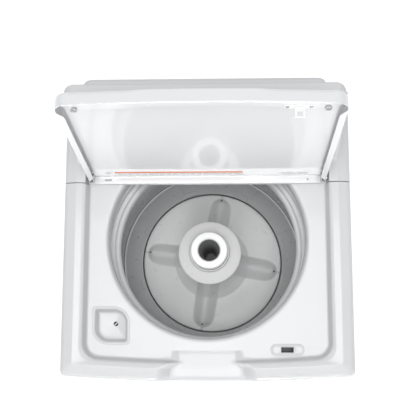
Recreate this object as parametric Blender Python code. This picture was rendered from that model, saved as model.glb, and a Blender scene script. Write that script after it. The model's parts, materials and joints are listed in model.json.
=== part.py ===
"""A top load washing machine: cabinet, deck, lid, console, tub, agitator and drive.

Metres, +Z up. The origin is on the floor, under the middle of the machine. The front faces -Y.
The lid stands open, leaning back past upright on its hinge pins.
"""

import math

import bmesh
import bpy
from mathutils import Vector

# ---------------------------------------------------------------- driving dimensions
GAP = 0.0003  # clearance between two pieces that touch
HALF_WIDTH = 0.343  # top cover, half of 27 inches
FRONT_CORNER_Y = -0.328  # front edge at the corners
FRONT_BOW = 0.012  # how far the middle of the front edge stands forward of the corners
BACK_Y = 0.340
SHEET = 0.0012  # cabinet steel
BASE_Z = 0.022  # underside of the base frame, held up by the feet
CABINET_LOW_Z = BASE_Z + 0.001
CABINET_TOP_Z = 0.8775
CABINET_HALF_WIDTH = 0.3415
CABINET_FRONT_Y = -0.3255
CABINET_BOW = 0.010
CABINET_REAR_Y = 0.3372
CABINET_CORNER = 0.014
FOOT_X = 0.305
FOOT_FRONT_Y = -0.292
FOOT_REAR_Y = 0.304
RAIL_TOP_Z = 0.925  # top of the rails round the lid
DECK_Z = 0.888  # deck floor that the lid closes over
DECK_SHEET = 0.002
RECESS_HALF_WIDTH = 0.2865
RECESS_FRONT_Y = -0.284
RECESS_BOW = 0.009
RECESS_DRAFT = 0.006  # how far the recess opens out from floor to rail
SCOOP_Z = 0.8802  # floor of the hand recess, a little below the deck floor
MOUTH_Y = -0.003  # centre of the round opening in the deck
MOUTH_RADIUS = 0.2387
MOUTH_BACK_Y = 0.156  # the opening ends straight here, under the lid's hinge edge
FLANGE_Z = 0.848  # lower edge of the opening's turned-down flange
SEAM_Y = 0.128  # where the side rails pass to the rear deck
NOTCH_HALF_WIDTH = 0.2892  # room for the lid in the rear deck
HINGE_WALL_Y = 0.172  # upright front wall of the rear deck, behind the lid

HINGE_Y = 0.142
HINGE_Z = 0.905
LID_OPEN_ANGLE = math.radians(99.5)
LID_HALF_WIDTH = 0.2845
LID_FRONT_Y = -0.421  # from the hinge, at the lid's corners
LID_REAR_Y = 0.012
LID_TOP_Z = 0.020
LID_RIM_Z = -0.010
LID_SHEET = 0.0015
LID_FLANGE = 0.014
LID_FRONT_FLANGE = 0.026
SHEET_OVER_GRIP = 0.0015

LOCK_X = 0.189
LOCK_Y = -0.268
BLEACH_X = -0.229
BLEACH_Y = -0.211
BLEACH_HALF = 0.037

TUB_Y = -0.015  # axis of the tub, basket, agitator and gearcase
TUB_RADIUS = 0.286  # inside
BASKET_RADIUS = 0.266  # inside
BASKET_TOP_Z = 0.776
AGITATOR_RADIUS = 0.2095
PULLEY_RADIUS = 0.075
MOTOR_PULLEY_RADIUS = 0.015
MOTOR_Y = TUB_Y + 0.165
DRIVE_Z = 0.149  # mid-height of the belt
PLATFORM_Z = 0.268
SUSPENSION_X = 0.290
SUSPENSION_Y = 0.255  # from the tub's axis
GUSSET_Z = 0.850
GUSSET_SHEET = 0.003

CONSOLE_HALF_WIDTH = 0.313
CONSOLE_BASE_Z = 0.9258
CONSOLE_TOP_Z = 1.118
CONSOLE_FOOT_Y = 0.180
CONSOLE_BROW_Y = 0.262
CONSOLE_BROW_Z = 1.095
CONSOLE_BACK_Y = 0.311
CONSOLE_WALL = 0.0025

ROUND = 40  # facets on the large turned parts
SMALL_ROUND = 18
TINY_ROUND = 12

PALETTE = {
    # name: (colour, roughness, metallic)
    "white_enamel": ((0.90, 0.90, 0.91), 0.25, 0.0),
    "white_plastic": ((0.92, 0.92, 0.93), 0.35, 0.0),
    "white_gloss": ((0.94, 0.94, 0.94), 0.18, 0.0),
    "pale_plastic": ((0.72, 0.73, 0.73), 0.40, 0.0),
    "grey_plastic": ((0.52, 0.53, 0.53), 0.35, 0.0),
    "dark_plastic": ((0.05, 0.05, 0.05), 0.50, 0.0),
    "stainless": ((0.55, 0.56, 0.56), 0.30, 1.0),
    "bright_steel": ((0.62, 0.62, 0.63), 0.35, 1.0),
    "zinc_steel": ((0.60, 0.61, 0.62), 0.50, 0.8),
    "cast_alloy": ((0.50, 0.50, 0.51), 0.55, 0.7),
    "rubber": ((0.04, 0.04, 0.04), 0.80, 0.0),
    "board_green": ((0.05, 0.20, 0.10), 0.55, 0.0),
    "black_enamel": ((0.03, 0.03, 0.035), 0.45, 0.0),
}


# ---------------------------------------------------------------- shared tools
def clear_scene():
    for old in list(bpy.data.objects):
        bpy.data.objects.remove(old)


def finish_of(name, palette_name):
    colour, roughness, metallic = PALETTE[palette_name]
    made = bpy.data.materials.new(name + "_finish")
    made.use_nodes = True
    shader = made.node_tree.nodes["Principled BSDF"]
    shader.inputs["Base Color"].default_value = (*colour, 1.0)
    shader.inputs["Roughness"].default_value = roughness
    shader.inputs["Metallic"].default_value = metallic
    made.diffuse_color = (*colour, 1.0)
    return made


def add_object(name, shape, palette_name=None, location=(0, 0, 0), parent=None):
    """Makes an object of a bmesh. Without a palette name it is a cutter or a piece to be joined."""
    bmesh.ops.remove_doubles(shape, verts=shape.verts, dist=1e-6)
    bmesh.ops.recalc_face_normals(shape, faces=shape.faces)
    mesh = bpy.data.meshes.new(name)
    shape.to_mesh(mesh)
    shape.free()
    mesh.shade_smooth()
    mesh.set_sharp_from_angle(angle=math.radians(35))
    made = bpy.data.objects.new(name, mesh)
    bpy.context.scene.collection.objects.link(made)
    made.location = location
    made.parent = parent
    if palette_name:
        mesh.materials.append(finish_of(name, palette_name))
    else:
        made.hide_render = True
        made.display_type = "WIRE"
    return made


def boolean(target, other, operation):
    """Cuts the helper from the target, or joins it on. The helper stays hidden beside its target."""
    other.parent = target.parent
    step = target.modifiers.new(other.name, "BOOLEAN")
    step.operation = operation
    step.object = other
    return target


def cut(target, *cutters):
    for cutter in cutters:
        boolean(target, cutter, "DIFFERENCE")
    return target


def join(target, *others):
    for other in others:
        boolean(target, other, "UNION")
    return target


def turned(name, profile, palette_name=None, location=(0, 0, 0), parent=None, facets=ROUND):
    """Spins a profile of (radius, height) points about Z. A profile that leaves the axis is a ring."""
    shape = bmesh.new()
    points = [shape.verts.new((radius, 0, height)) for radius, height in profile]
    pairs = list(zip(points, points[1:]))
    if profile[0][0] > 0:
        pairs.append((points[-1], points[0]))
    edges = [shape.edges.new(pair) for pair in pairs]
    bmesh.ops.spin(
        shape, geom=points + edges, cent=(0, 0, 0), axis=(0, 0, 1), angle=math.tau, steps=facets
    )
    return add_object(name, shape, palette_name, location, parent)


def cylinder(name, radius, low, high, palette_name=None, location=(0, 0, 0), parent=None, facets=SMALL_ROUND):
    profile = [(0, low), (radius, low), (radius, high), (0, high)]
    return turned(name, profile, palette_name, location, parent, facets)


def prism(name, outline, low, high, palette_name=None, along="Z", location=(0, 0, 0), parent=None, top=None):
    """Extrudes an outline from low to high along an axis, to another outline of as many points if top is given.

    The points are (x, y), (x, z) or (y, z), by the axis.
    """
    order = {"Z": lambda u, v, w: (u, v, w), "Y": lambda u, v, w: (u, w, v), "X": lambda u, v, w: (w, u, v)}
    shape = bmesh.new()
    rings = []
    for height, points in ((low, outline), (high, top or outline)):
        rings.append([shape.verts.new(order[along](u, v, height)) for u, v in points])
    shape.faces.new(rings[0])
    shape.faces.new(rings[1])
    count = len(outline)
    for i in range(count):
        after = (i + 1) % count
        shape.faces.new((rings[0][i], rings[0][after], rings[1][after], rings[1][i]))
    return add_object(name, shape, palette_name, location, parent)


def block(name, low, high, palette_name=None, location=(0, 0, 0), parent=None):
    outline = [(low[0], low[1]), (high[0], low[1]), (high[0], high[1]), (low[0], high[1])]
    return prism(name, outline, low[2], high[2], palette_name, "Z", location, parent)


def tube(name, route, radius, palette_name, location=(0, 0, 0), parent=None):
    """A hose of a smooth route, read from a curve through the route's points."""
    path = smooth_route([Vector(point) for point in route], spacing=radius * 4.5)
    curve = bpy.data.curves.new(name, "CURVE")
    curve.dimensions = "3D"
    curve.bevel_depth = radius
    curve.bevel_resolution = 2
    curve.use_fill_caps = True
    line = curve.splines.new("POLY")
    line.points.add(len(path) - 1)
    for point, place in zip(line.points, path):
        point.co = (*place, 1.0)
    made = bpy.data.objects.new(name, curve)
    bpy.context.scene.collection.objects.link(made)
    made.location = location
    made.parent = parent
    curve.materials.append(finish_of(name, palette_name))
    return made


def smooth_route(points, spacing):
    """Catmull-Rom points through the route, spaced about evenly."""
    ends = [2 * points[0] - points[1], *points, 2 * points[-1] - points[-2]]
    path = [points[0]]
    for before, start, end, after in zip(ends, ends[1:], ends[2:], ends[3:]):
        steps = max(1, round((end - start).length / spacing))
        for i in range(1, steps + 1):
            t = i / steps
            path.append(
                0.5
                * (
                    2 * start
                    + (end - before) * t
                    + (2 * before - 5 * start + 4 * end - after) * t**2
                    + (3 * start - before - 3 * end + after) * t**3
                )
            )
    return path


def arc(centre, radius, start, end, steps):
    """Points on an arc, angles in degrees."""
    found = []
    for i in range(steps + 1):
        angle = math.radians(start + (end - start) * i / steps)
        found.append((centre[0] + radius * math.cos(angle), centre[1] + radius * math.sin(angle)))
    return found


def circle(radius, centre=(0, 0)):
    """Outline of a small round hole or boss."""
    return arc(centre, radius, 0, 330, 11)


def rounded_box(x0, x1, y0, y1, radius, steps=3):
    """Outline of a rectangle with round corners, counter-clockwise."""
    return (
        arc((x1 - radius, y0 + radius), radius, -90, 0, steps)
        + arc((x1 - radius, y1 - radius), radius, 0, 90, steps)
        + arc((x0 + radius, y1 - radius), radius, 90, 180, steps)
        + arc((x0 + radius, y0 + radius), radius, 180, 270, steps)
    )


def bowed_box(half_width, front, bow, rear, radius, steps=3, bow_steps=8):
    """Outline with round front corners, a front edge that bows forward and square rear corners."""
    flat = half_width - radius
    front_edge = []
    for i in range(1, bow_steps):
        x = -flat + 2 * flat * i / bow_steps
        front_edge.append((x, front - bow * (1 - (x / flat) ** 2)))
    return (
        [(-half_width, rear)]
        + arc((-flat, front + radius), radius, 180, 270, steps)
        + front_edge
        + arc((flat, front + radius), radius, -90, 0, steps)
        + [(half_width, rear)]
    )


def bevel_edges(made, width, segments, wanted):
    """Rounds those edges of a finished mesh for which wanted(edge) is true."""
    shape = bmesh.new()
    shape.from_mesh(made.data)
    edges = [edge for edge in shape.edges if wanted(edge)]
    bmesh.ops.bevel(
        shape, geom=edges, offset=width, segments=segments, profile=0.5, affect="EDGES", clamp_overlap=True
    )
    shape.to_mesh(made.data)
    shape.free()
    return made


def on_level(height):
    """A test for edges that lie at one height of the mesh."""
    return lambda edge: all(abs(vert.co.z - height) < 1e-5 for vert in edge.verts)


def axis_empty(name, location, tilt=0.0):
    made = bpy.data.objects.new(name, None)
    bpy.context.scene.collection.objects.link(made)
    made.location = location
    made.rotation_euler = (tilt, 0, 0)
    return made


# ---------------------------------------------------------------- cabinet
def cabinet():
    half, front, corner = CABINET_HALF_WIDTH, CABINET_FRONT_Y, CABINET_CORNER
    outer = bowed_box(half, front, CABINET_BOW, CABINET_REAR_Y, corner)
    inner = bowed_box(half - SHEET, front + SHEET, CABINET_BOW, CABINET_REAR_Y + 0.0088, corner - SHEET)
    shell = prism("cabinet_shell", outer, CABINET_LOW_Z, CABINET_TOP_Z, "white_enamel")
    cut(shell, prism("cabinet_hollow", inner, 0, 1))
    for side in (-1, 1):
        label = "left" if side < 0 else "right"
        low, high = sorted((side * (half - 0.0003), side * 0.322))
        low_corner = (low, CABINET_REAR_Y - SHEET, CABINET_LOW_Z)
        join(shell, block(f"cabinet_return_{label}", low_corner, (high, CABINET_REAR_Y, CABINET_TOP_Z)))
        for end in (-1, 1):
            join(shell, gusset(side, end))
    holes = [rod_hole(side, end) for side in (-1, 1) for end in (-1, 1)]
    cut(shell, *holes)


def gusset(side, end):
    """A corner plate welded into the cabinet, which a suspension rod hangs from."""
    x, y = side * SUSPENSION_X, TUB_Y + end * SUSPENSION_Y
    wall_x = side * 0.3408
    wall_y = -0.3285 if end < 0 else 0.3368
    inward_x = x - side * 0.022
    inward_y = y - end * 0.018
    outline = [
        (wall_x, wall_y), (wall_x, inward_y), (x - side * 0.005, inward_y), (inward_x, y), (inward_x, wall_y),
    ]
    name = f"gusset_{'front' if end < 0 else 'rear'}_{'left' if side < 0 else 'right'}"
    return prism(name, outline, GUSSET_Z, GUSSET_Z + GUSSET_SHEET)


def rod_hole(side, end):
    place = (side * SUSPENSION_X, TUB_Y + end * SUSPENSION_Y, 0)
    return cylinder(f"rod_hole_{side}_{end}", 0.006, 0.84, 0.86, location=place, facets=TINY_ROUND)


def rear_panel():
    panel = block("rear_panel", (-0.334, 0.3376, 0.030), (0.334, 0.3388, 0.876), "zinc_steel")
    ports = [(x, VALVE_Z, 0.0150) for x in VALVE_PORTS_X] + [(DRAIN_X, DRAIN_EXIT_Z, 0.0140)]
    for i, (x, z, radius) in enumerate(ports):
        outline = circle(radius, (x, z))
        cut(panel, prism(f"rear_port_{i}", outline, 0.33, 0.35, along="Y"))


def base_frame():
    outline = bowed_box(0.3395, -0.322, 0.008, 0.334, 0.012)
    frame = prism("base_frame", outline, BASE_Z, BASE_Z + 0.034, "zinc_steel")
    inside = rounded_box(-0.285, 0.285, -0.270, 0.282, 0.060)
    pan = rounded_box(-0.330, 0.330, -0.314, 0.326, 0.020)
    cut(frame, prism("base_opening", inside, 0, 0.1), prism("base_tray", pan, BASE_Z + 0.004, 0.1))
    for x, y, name in foot_places():
        cut(frame, cylinder(f"{name}_hole", 0.0068, 0, 0.1, location=(x, y, 0), facets=TINY_ROUND))


def foot_places():
    for y, end in ((FOOT_FRONT_Y, "front"), (FOOT_REAR_Y, "rear")):
        for x, side in ((-FOOT_X, "left"), (FOOT_X, "right")):
            yield x, y, f"leveling_foot_{end}_{side}"


def feet():
    pad, stem, top = 0.022, 0.0058, 0.058
    profile = [
        (0, 0), (pad - 0.002, 0), (pad, 0.003), (pad, 0.010), (0.012, 0.014), (stem, 0.016), (stem, top), (0, top),
    ]
    for x, y, name in foot_places():
        turned(name, profile, "rubber", (x, y, 0), facets=TINY_ROUND)


# ---------------------------------------------------------------- deck
def recess_outline(spread, rear):
    """The recess that the lid closes into, spread outwards by some distance."""
    return bowed_box(RECESS_HALF_WIDTH + spread, RECESS_FRONT_Y - spread, RECESS_BOW, rear, 0.034 + spread)


def top_cover():
    rim_z = CABINET_TOP_Z + GAP
    outline = bowed_box(HALF_WIDTH, FRONT_CORNER_Y, FRONT_BOW, HINGE_WALL_Y - 0.0015, 0.016)
    cover = prism("top_cover", outline, rim_z, RAIL_TOP_Z, "white_enamel")
    at_rail = on_level(RAIL_TOP_Z)
    bevel_edges(cover, 0.0125, 3, lambda edge: at_rail(edge) and edge.verts[0].co.y < 0.17)
    wall = 0.0022
    under_rail = on_level(RAIL_TOP_Z - wall)
    inner = bowed_box(HALF_WIDTH - wall, FRONT_CORNER_Y + wall, FRONT_BOW, 0.2, 0.014)
    hollow = prism("cover_hollow", inner, 0.87, RAIL_TOP_Z - wall)
    bevel_edges(hollow, 0.0115, 3, lambda edge: under_rail(edge) and edge.verts[0].co.y < 0.199)
    tray_foot, tray_top = recess_outline(wall, 0.22), recess_outline(wall + RECESS_DRAFT, 0.22)
    tray = prism("cover_tray", tray_foot, DECK_Z - DECK_SHEET, 0.93, top=tray_top)
    cut(hollow, tray, finger_scoop("scoop_wall", wall))
    cut(cover, hollow)
    cut(cover, prism("deck_recess", recess_outline(0, 0.19), DECK_Z, 0.93, top=recess_outline(RECESS_DRAFT, 0.19)))
    join(cover, prism("mouth_flange", mouth_outline(0.0018), FLANGE_Z, DECK_Z - 0.001))
    cut(cover, prism("mouth_hole", mouth_outline(0), 0.8, 0.95))
    for side in (-1, 1):
        rail = sorted((side * (NOTCH_HALF_WIDTH - GAP), side * 0.36))
        cut(cover, block(f"rail_end_{side}", (rail[0], SEAM_Y, 0.8), (rail[1], 0.3, 0.95)))
        room = sorted((side * (RECESS_HALF_WIDTH + 0.0002), side * 0.30))
        cut(cover, block(f"hinge_room_{side}", (room[0], SEAM_Y, DECK_Z - 0.0005), (room[1], 0.3, 0.95)))
    cut(cover, prism("bleach_hole", leaf_outline(0.0022), 0.8, 0.95), finger_scoop("finger_scoop", 0))
    cut(cover, around_lock("lock_hole", 0.0180, 0.0095, 0.8, 0.95))


def mouth_outline(spread):
    """The round opening, cut off straight at the back where the lid's hinge edge lies."""
    radius = MOUTH_RADIUS + spread
    cut_off = math.degrees(math.asin((MOUTH_BACK_Y + spread - MOUTH_Y) / radius))
    return arc((0, MOUTH_Y), radius, 180 - cut_off, 360 + cut_off, ROUND)


def finger_scoop(name, spread):
    """The hand recess through the front rail, wider at the front edge, spread outwards by some distance."""
    near, far, back = 0.105 + spread, 0.0825 + spread, -0.271 + spread
    outline = [(-near, -0.36), (near, -0.36), (near, -0.310), (far, -0.290), (far, back), (-far, back)]
    outline += [(-far, -0.290), (-near, -0.310)]
    return prism(name, outline, SCOOP_Z - spread, 0.96 + spread)


def leaf_outline(spread):
    """The bleach cup's outline: two sharp corners and two wide round ones."""
    half = BLEACH_HALF + spread
    round_corner = 0.046 + spread
    corner = 0.004
    x0, x1, y0, y1 = BLEACH_X - half, BLEACH_X + half, BLEACH_Y - half, BLEACH_Y + half
    return (
        arc((x1 - corner, y0 + corner), corner, -90, 0, 2)
        + arc((x1 - round_corner, y1 - round_corner), round_corner, 0, 90, 6)
        + arc((x0 + corner, y1 - corner), corner, 90, 180, 2)
        + arc((x0 + round_corner, y0 + round_corner), round_corner, 180, 270, 6)
    )


def bleach_dispenser():
    """A cup with a lip that rests on the deck and a barred drain hole."""
    floor_z = 0.862
    cup = prism("bleach_dispenser", leaf_outline(0.0018), floor_z - 0.002, 0.8905, "white_plastic")
    join(cup, prism("bleach_lip", leaf_outline(0.008), DECK_Z + GAP, 0.8905))
    cut(cup, prism("bleach_pocket", leaf_outline(0), floor_z, 0.95))
    drain = (BLEACH_X + 0.008, BLEACH_Y + 0.004, 0)
    spout = [(0.0058, 0.850), (0.0075, 0.850), (0.0075, floor_z - 0.001), (0.0058, floor_z - 0.001)]
    join(cup, turned("bleach_spout", spout, location=drain, facets=TINY_ROUND))
    cut(cup, cylinder("bleach_drain", 0.0057, 0.84, 0.9, location=drain, facets=TINY_ROUND))
    bar = block("bleach_bar", (-0.0065, -0.0012, floor_z - 0.002), (0.0065, 0.0012, floor_z), location=drain)
    bar.rotation_euler = (0, 0, math.radians(45))
    join(cup, bar)


def rear_deck():
    """The raised piece behind the lid that carries the console, with a rail at each side."""
    low, top = CABINET_TOP_Z + GAP, RAIL_TOP_Z
    front = SEAM_Y + 0.0008
    deck = block("rear_deck", (-HALF_WIDTH, front, low), (HALF_WIDTH, BACK_Y, top), "white_enamel")
    bevel_edges(deck, 0.014, 3, side_edge_at(top))
    wall = 0.002
    half = HALF_WIDTH - wall
    hollow = block("rear_hollow", (-half, front + wall, 0.86), (half, BACK_Y - wall, top - wall))
    bevel_edges(hollow, 0.0138, 3, side_edge_at(top - wall))
    cut(hollow, rear_notch("rear_notch_wall", wall))
    cut(deck, hollow, rear_notch("rear_notch", 0))
    cut(deck, block("wiring_slot", (-0.05, 0.24, 0.9), (0.05, 0.28, 0.95)))


def side_edge_at(height):
    """A test for edges at one height that run from front to back."""
    level = on_level(height)
    return lambda edge: level(edge) and abs(edge.verts[0].co.x - edge.verts[1].co.x) < 1e-5


def rear_notch(name, spread):
    """The room for the lid in the rear deck, spread outwards by some distance."""
    half = NOTCH_HALF_WIDTH + spread
    return block(name, (-half, 0.1, 0.85), (half, HINGE_WALL_Y + spread, 0.95))


def around_lock(name, half_x, half_y, low, high):
    """A block centred on the lid lock's slot."""
    return block(name, (LOCK_X - half_x, LOCK_Y - half_y, low), (LOCK_X + half_x, LOCK_Y + half_y, high))


def lid_lock():
    """Bezel on the deck, housing below it and a bolt that slides into the lid's strike."""
    bezel_outline = rounded_box(LOCK_X - 0.040, LOCK_X + 0.040, LOCK_Y - 0.0145, LOCK_Y + 0.0145, 0.0142, 4)
    bezel = prism("lid_lock_bezel", bezel_outline, DECK_Z + GAP, DECK_Z + 0.002, "white_plastic")
    join(bezel, around_lock("bezel_collar", 0.0175, 0.0090, DECK_Z - 0.002, DECK_Z + 0.002))
    cut(bezel, around_lock("bezel_slot", 0.0145, 0.0060, 0.87, 0.90))
    top = DECK_Z - DECK_SHEET - GAP
    low_corner, high_corner = (LOCK_X - 0.028, LOCK_Y - 0.013, 0.858), (LOCK_X + 0.028, LOCK_Y + 0.055, top)
    housing = block("lid_lock_housing", low_corner, high_corner, "dark_plastic")
    channel = block("lock_channel", (LOCK_X - 0.0048, LOCK_Y, 0.8735), (LOCK_X + 0.0048, LOCK_Y + 0.07, 0.8822))
    cut(housing, around_lock("lock_pocket", 0.0155, 0.0075, 0.862, 0.90), channel)
    low_corner, high_corner = (LOCK_X - 0.0040, LOCK_Y + 0.009, 0.8745), (LOCK_X + 0.0040, LOCK_Y + 0.058, 0.8812)
    block("lid_lock_bolt", low_corner, high_corner, "pale_plastic")


# ---------------------------------------------------------------- lid
def lid_outline(inset, front_inset, rear_inset):
    radius = max(0.030 - inset, 0.006)
    return bowed_box(LID_HALF_WIDTH - inset, LID_FRONT_Y + front_inset, RECESS_BOW, LID_REAR_Y - rear_inset, radius)


def lid_block(name, inset, low, high, edge_radius, palette_name=None, parent=None):
    made = prism(name, lid_outline(inset, inset, inset), low, high, palette_name, parent=parent)
    return bevel_edges(made, edge_radius, 3, on_level(high))


def lid():
    """Everything on the lid, placed as if closed and then swung open about the hinge pins."""
    hinge = axis_empty("lid_hinge_axis", (0, HINGE_Y, HINGE_Z), -LID_OPEN_ANGLE)
    shell = lid_block("lid_shell", 0, LID_RIM_Z, LID_TOP_Z, 0.008, "white_gloss", hinge)
    pocket = lid_block("lid_pocket", LID_SHEET, LID_RIM_Z + LID_SHEET, LID_TOP_Z - LID_SHEET, 0.0068, parent=hinge)
    cut(shell, pocket)
    rim = lid_outline(LID_FLANGE, LID_FRONT_FLANGE, LID_SHEET)
    mouth = prism("lid_mouth", rim, LID_RIM_Z - 0.01, LID_RIM_Z + 0.004, parent=hinge)
    cut(shell, mouth)
    cut(shell, prism("lid_pin_hole", circle(0.0044), -0.3, 0.3, along="X", parent=hinge))
    ahead, top = -0.44, 0.004
    grip = [(-0.095, ahead), (0.095, ahead), (0.080, -0.4225), (-0.080, -0.4225)]
    cut(shell, prism("lid_grip", grip, -0.02, top, parent=hinge))
    grip_wall = [
        (-0.096, -0.4226), (-0.081, -0.4210), (0.081, -0.4210), (0.096, -0.4226), (0.099, -0.4295), (-0.099, -0.4295),
    ]
    join(shell, prism("lid_grip_wall", grip_wall, LID_RIM_Z, top + SHEET_OVER_GRIP, parent=hinge))
    grip_face = [(-0.0945, ahead), (0.0945, ahead), (0.079, -0.4228), (-0.079, -0.4228)]
    cut(shell, prism("lid_grip_face", grip_face, -0.02, top, parent=hinge))
    strike(hinge)
    for side, label in ((-1, "left"), (1, "right")):
        top = LID_RIM_Z - GAP
        profile = [(0, -0.0163), (0.0050, -0.0163), (0.0062, -0.0145), (0.0062, top), (0, top)]
        place = (side * 0.245, -0.264 - HINGE_Y, 0)
        turned(f"lid_bumper_{label}", profile, "pale_plastic", place, hinge, facets=TINY_ROUND)


def strike(hinge):
    """The tab that enters the lock, with a window for the bolt."""
    y = LOCK_Y - HINGE_Y
    plate_z = LID_RIM_Z - GAP
    low_corner, high_corner = (LOCK_X - 0.029, y - 0.0065, plate_z - 0.002), (LOCK_X + 0.029, y + 0.0065, plate_z)
    made = block("lid_strike", low_corner, high_corner, "white_plastic", parent=hinge)
    tab = block("strike_tab", (LOCK_X - 0.010, y - 0.002, -0.0345), (LOCK_X + 0.010, y + 0.002, plate_z - 0.001))
    window = block("strike_window", (LOCK_X - 0.0055, y - 0.01, -0.0325), (LOCK_X + 0.0055, y + 0.01, -0.0215))
    join(made, tab)
    cut(made, window)


def lid_hinges():
    """A boss and pin at each side, fixed to the rear deck's rail."""
    place = (0, HINGE_Y, HINGE_Z)
    for side, label in ((-1, "left"), (1, "right")):
        low, high = sorted((side * (NOTCH_HALF_WIDTH - GAP), side * 0.2862))
        boss = prism(f"lid_hinge_{label}", circle(0.0105), low, high, "bright_steel", "X", place)
        low, high = sorted((side * 0.2880, side * 0.2740))
        join(boss, prism(f"hinge_pin_{label}", circle(0.0040), low, high, along="X", location=place))


# ---------------------------------------------------------------- console
FACE_RUN = CONSOLE_BROW_Y - CONSOLE_FOOT_Y
FACE_RISE = CONSOLE_BROW_Z - CONSOLE_BASE_Z
FACE_TILT = math.atan2(FACE_RISE, FACE_RUN)  # from level, so a control's axis leans up from -Y
KNOBS = (
    # name, x, place up the face from 0 to 1, skirt radius, height
    ("cycle_knob", 0.170, 0.50, 0.036, 0.024),
    ("temperature_knob", -0.205, 0.50, 0.021, 0.020),
    ("soil_knob", -0.125, 0.50, 0.021, 0.020),
    ("load_knob", -0.045, 0.50, 0.021, 0.020),
)
BUTTON_X = 0.070


def face_point(share):
    return (CONSOLE_FOOT_Y + FACE_RUN * share, CONSOLE_BASE_Z + FACE_RISE * share)


def face_empty(name, x, share):
    """An empty on the console's face whose Z axis stands out of it."""
    y, z = face_point(share)
    return axis_empty(name, (x, y, z), FACE_TILT)


def console_section(inset):
    """Outline of the console seen from the side, as (y, z)."""
    return [
        (CONSOLE_FOOT_Y + inset * 1.1, CONSOLE_BASE_Z),
        (CONSOLE_BROW_Y + inset, CONSOLE_BROW_Z - inset * 0.2),
        (0.272, 1.110 - inset),
        (0.288, CONSOLE_TOP_Z - inset),
        (CONSOLE_BACK_Y, CONSOLE_TOP_Z - inset),
        (CONSOLE_BACK_Y, CONSOLE_BASE_Z),
    ]


def console_front(name, inset):
    """Outline of the console seen from the front, with its upper corners rounded."""
    side, top, radius = CONSOLE_HALF_WIDTH - inset, CONSOLE_TOP_Z - inset, 0.022 - inset
    outline = (
        [(-side, 0.9), (side, 0.9)]
        + arc((side - radius, top - radius), radius, 0, 90, 4)
        + arc((-side + radius, top - radius), radius, 90, 180, 4)
    )
    return prism(name, outline, 0.1, 0.4, along="Y")


def console():
    wall = CONSOLE_WALL
    fascia = prism("console_fascia", console_section(0), -0.32, 0.32, "white_plastic", "X")
    boolean(fascia, console_front("console_outline", 0), "INTERSECT")
    section = console_section(wall)
    section[0] = (section[0][0] - 0.0021, CONSOLE_BASE_Z - 0.004)
    section[4] = (0.33, section[4][1])
    section[5] = (0.33, CONSOLE_BASE_Z - 0.004)
    hollow = prism("console_hollow", section, -0.32, 0.32, along="X")
    boolean(hollow, console_front("console_hollow_outline", wall), "INTERSECT")
    cut(fascia, hollow)
    for name, x, share, _radius, _height in KNOBS:
        cut(fascia, seat(cylinder(f"{name}_hole", 0.0045, -0.02, 0.02, facets=TINY_ROUND), x, share))
    button_hole = prism("start_button_hole", rounded_box(-0.0175, 0.0175, -0.0085, 0.0085, 0.003, 2), -0.02, 0.02)
    cut(fascia, seat(button_hole, BUTTON_X, 0.5))
    low_corner, high_corner = (-0.268, CONSOLE_BACK_Y + GAP, CONSOLE_BASE_Z), (0.268, 0.326, 1.113)
    back = block("console_back", low_corner, high_corner, "white_plastic")
    bevel_edges(back, 0.008, 2, lambda edge: all(vert.co.z > 1.1 and vert.co.y > 0.32 for vert in edge.verts))
    cut(back, block("console_back_hollow", (-0.2655, 0.30, 0.92), (0.2655, 0.3235, 1.1105)))
    block("control_board", (-0.110, 0.3020, 0.950), (0.150, 0.3036, 1.060), "board_green")


def seat(made, x, share):
    """Stands a piece made along Z on the console's face."""
    y, z = face_point(share)
    made.location = (x, y, z)
    made.rotation_euler = (FACE_TILT, 0, 0)
    return made


def controls():
    for name, x, share, radius, height in KNOBS:
        parent = face_empty(f"{name}_axis", x, share)
        foot = 0.0008
        profile = [
            (0, -0.012), (0.0032, -0.012), (0.0032, foot), (radius, foot), (radius, foot + 0.003),
            (radius * 0.80, foot + 0.006), (radius * 0.72, height - 0.002), (radius * 0.66, height), (0, height),
        ]
        knob = turned(name, profile, "white_plastic", parent=parent, facets=SMALL_ROUND)
        low_corner, high_corner = (-0.0011, radius * 0.25, height - 0.0006), (0.0011, radius * 0.62, height + 0.01)
        cut(knob, block(f"{name}_mark", low_corner, high_corner))
    parent = face_empty("start_button_axis", BUTTON_X, 0.5)
    outline = rounded_box(-0.0170, 0.0170, -0.0080, 0.0080, 0.003, 2)
    button = prism("start_button", outline, -0.0045, 0.0045, "pale_plastic", parent=parent)
    join(button, block("start_button_foot", (-0.0195, -0.0105, -0.0056), (0.0195, 0.0105, -0.0033)))


# ---------------------------------------------------------------- tub, basket and agitator
AXIS = (0, TUB_Y, 0)


def outer_tub():
    bore, boss, floor_z, inside = 0.0262, 0.045, 0.300, TUB_RADIUS
    profile = [
        (bore, 0.2745), (boss, 0.2745), (boss, floor_z), (0.250, floor_z), (inside + 0.003, 0.330),
        (inside + 0.003, 0.790), (0.297, 0.790), (0.297, 0.797), (inside, 0.797), (inside, 0.3315),
        (0.249, floor_z + 0.003), (boss, floor_z + 0.003), (0.040, 0.318), (bore, 0.318),
    ]
    tub = turned("outer_tub", profile, "pale_plastic", AXIS)
    cut(tub, cylinder("tub_drain", 0.010, 0.28, 0.32, location=(PUMP_X, SUMP_Y, 0), facets=TINY_ROUND))


def tub_cover_ring():
    """The splash ring on the tub, whose lip shows inside the opening."""
    profile = [
        (0.297, 0.7975), (0.297, 0.806), (0.290, 0.812), (0.284, 0.826), (0.262, 0.836), (0.2450, 0.836),
        (0.2425, 0.832), (0.2445, 0.829), (0.261, 0.832), (0.2815, 0.823), (0.287, 0.811), (0.288, 0.7975),
    ]
    ring = turned("tub_cover_ring", profile, "pale_plastic", AXIS)
    cut(ring, cylinder("fill_inlet", 0.011, 0.80, 0.85, location=(SPOUT_X, SPOUT_Y, 0), facets=TINY_ROUND))


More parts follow.
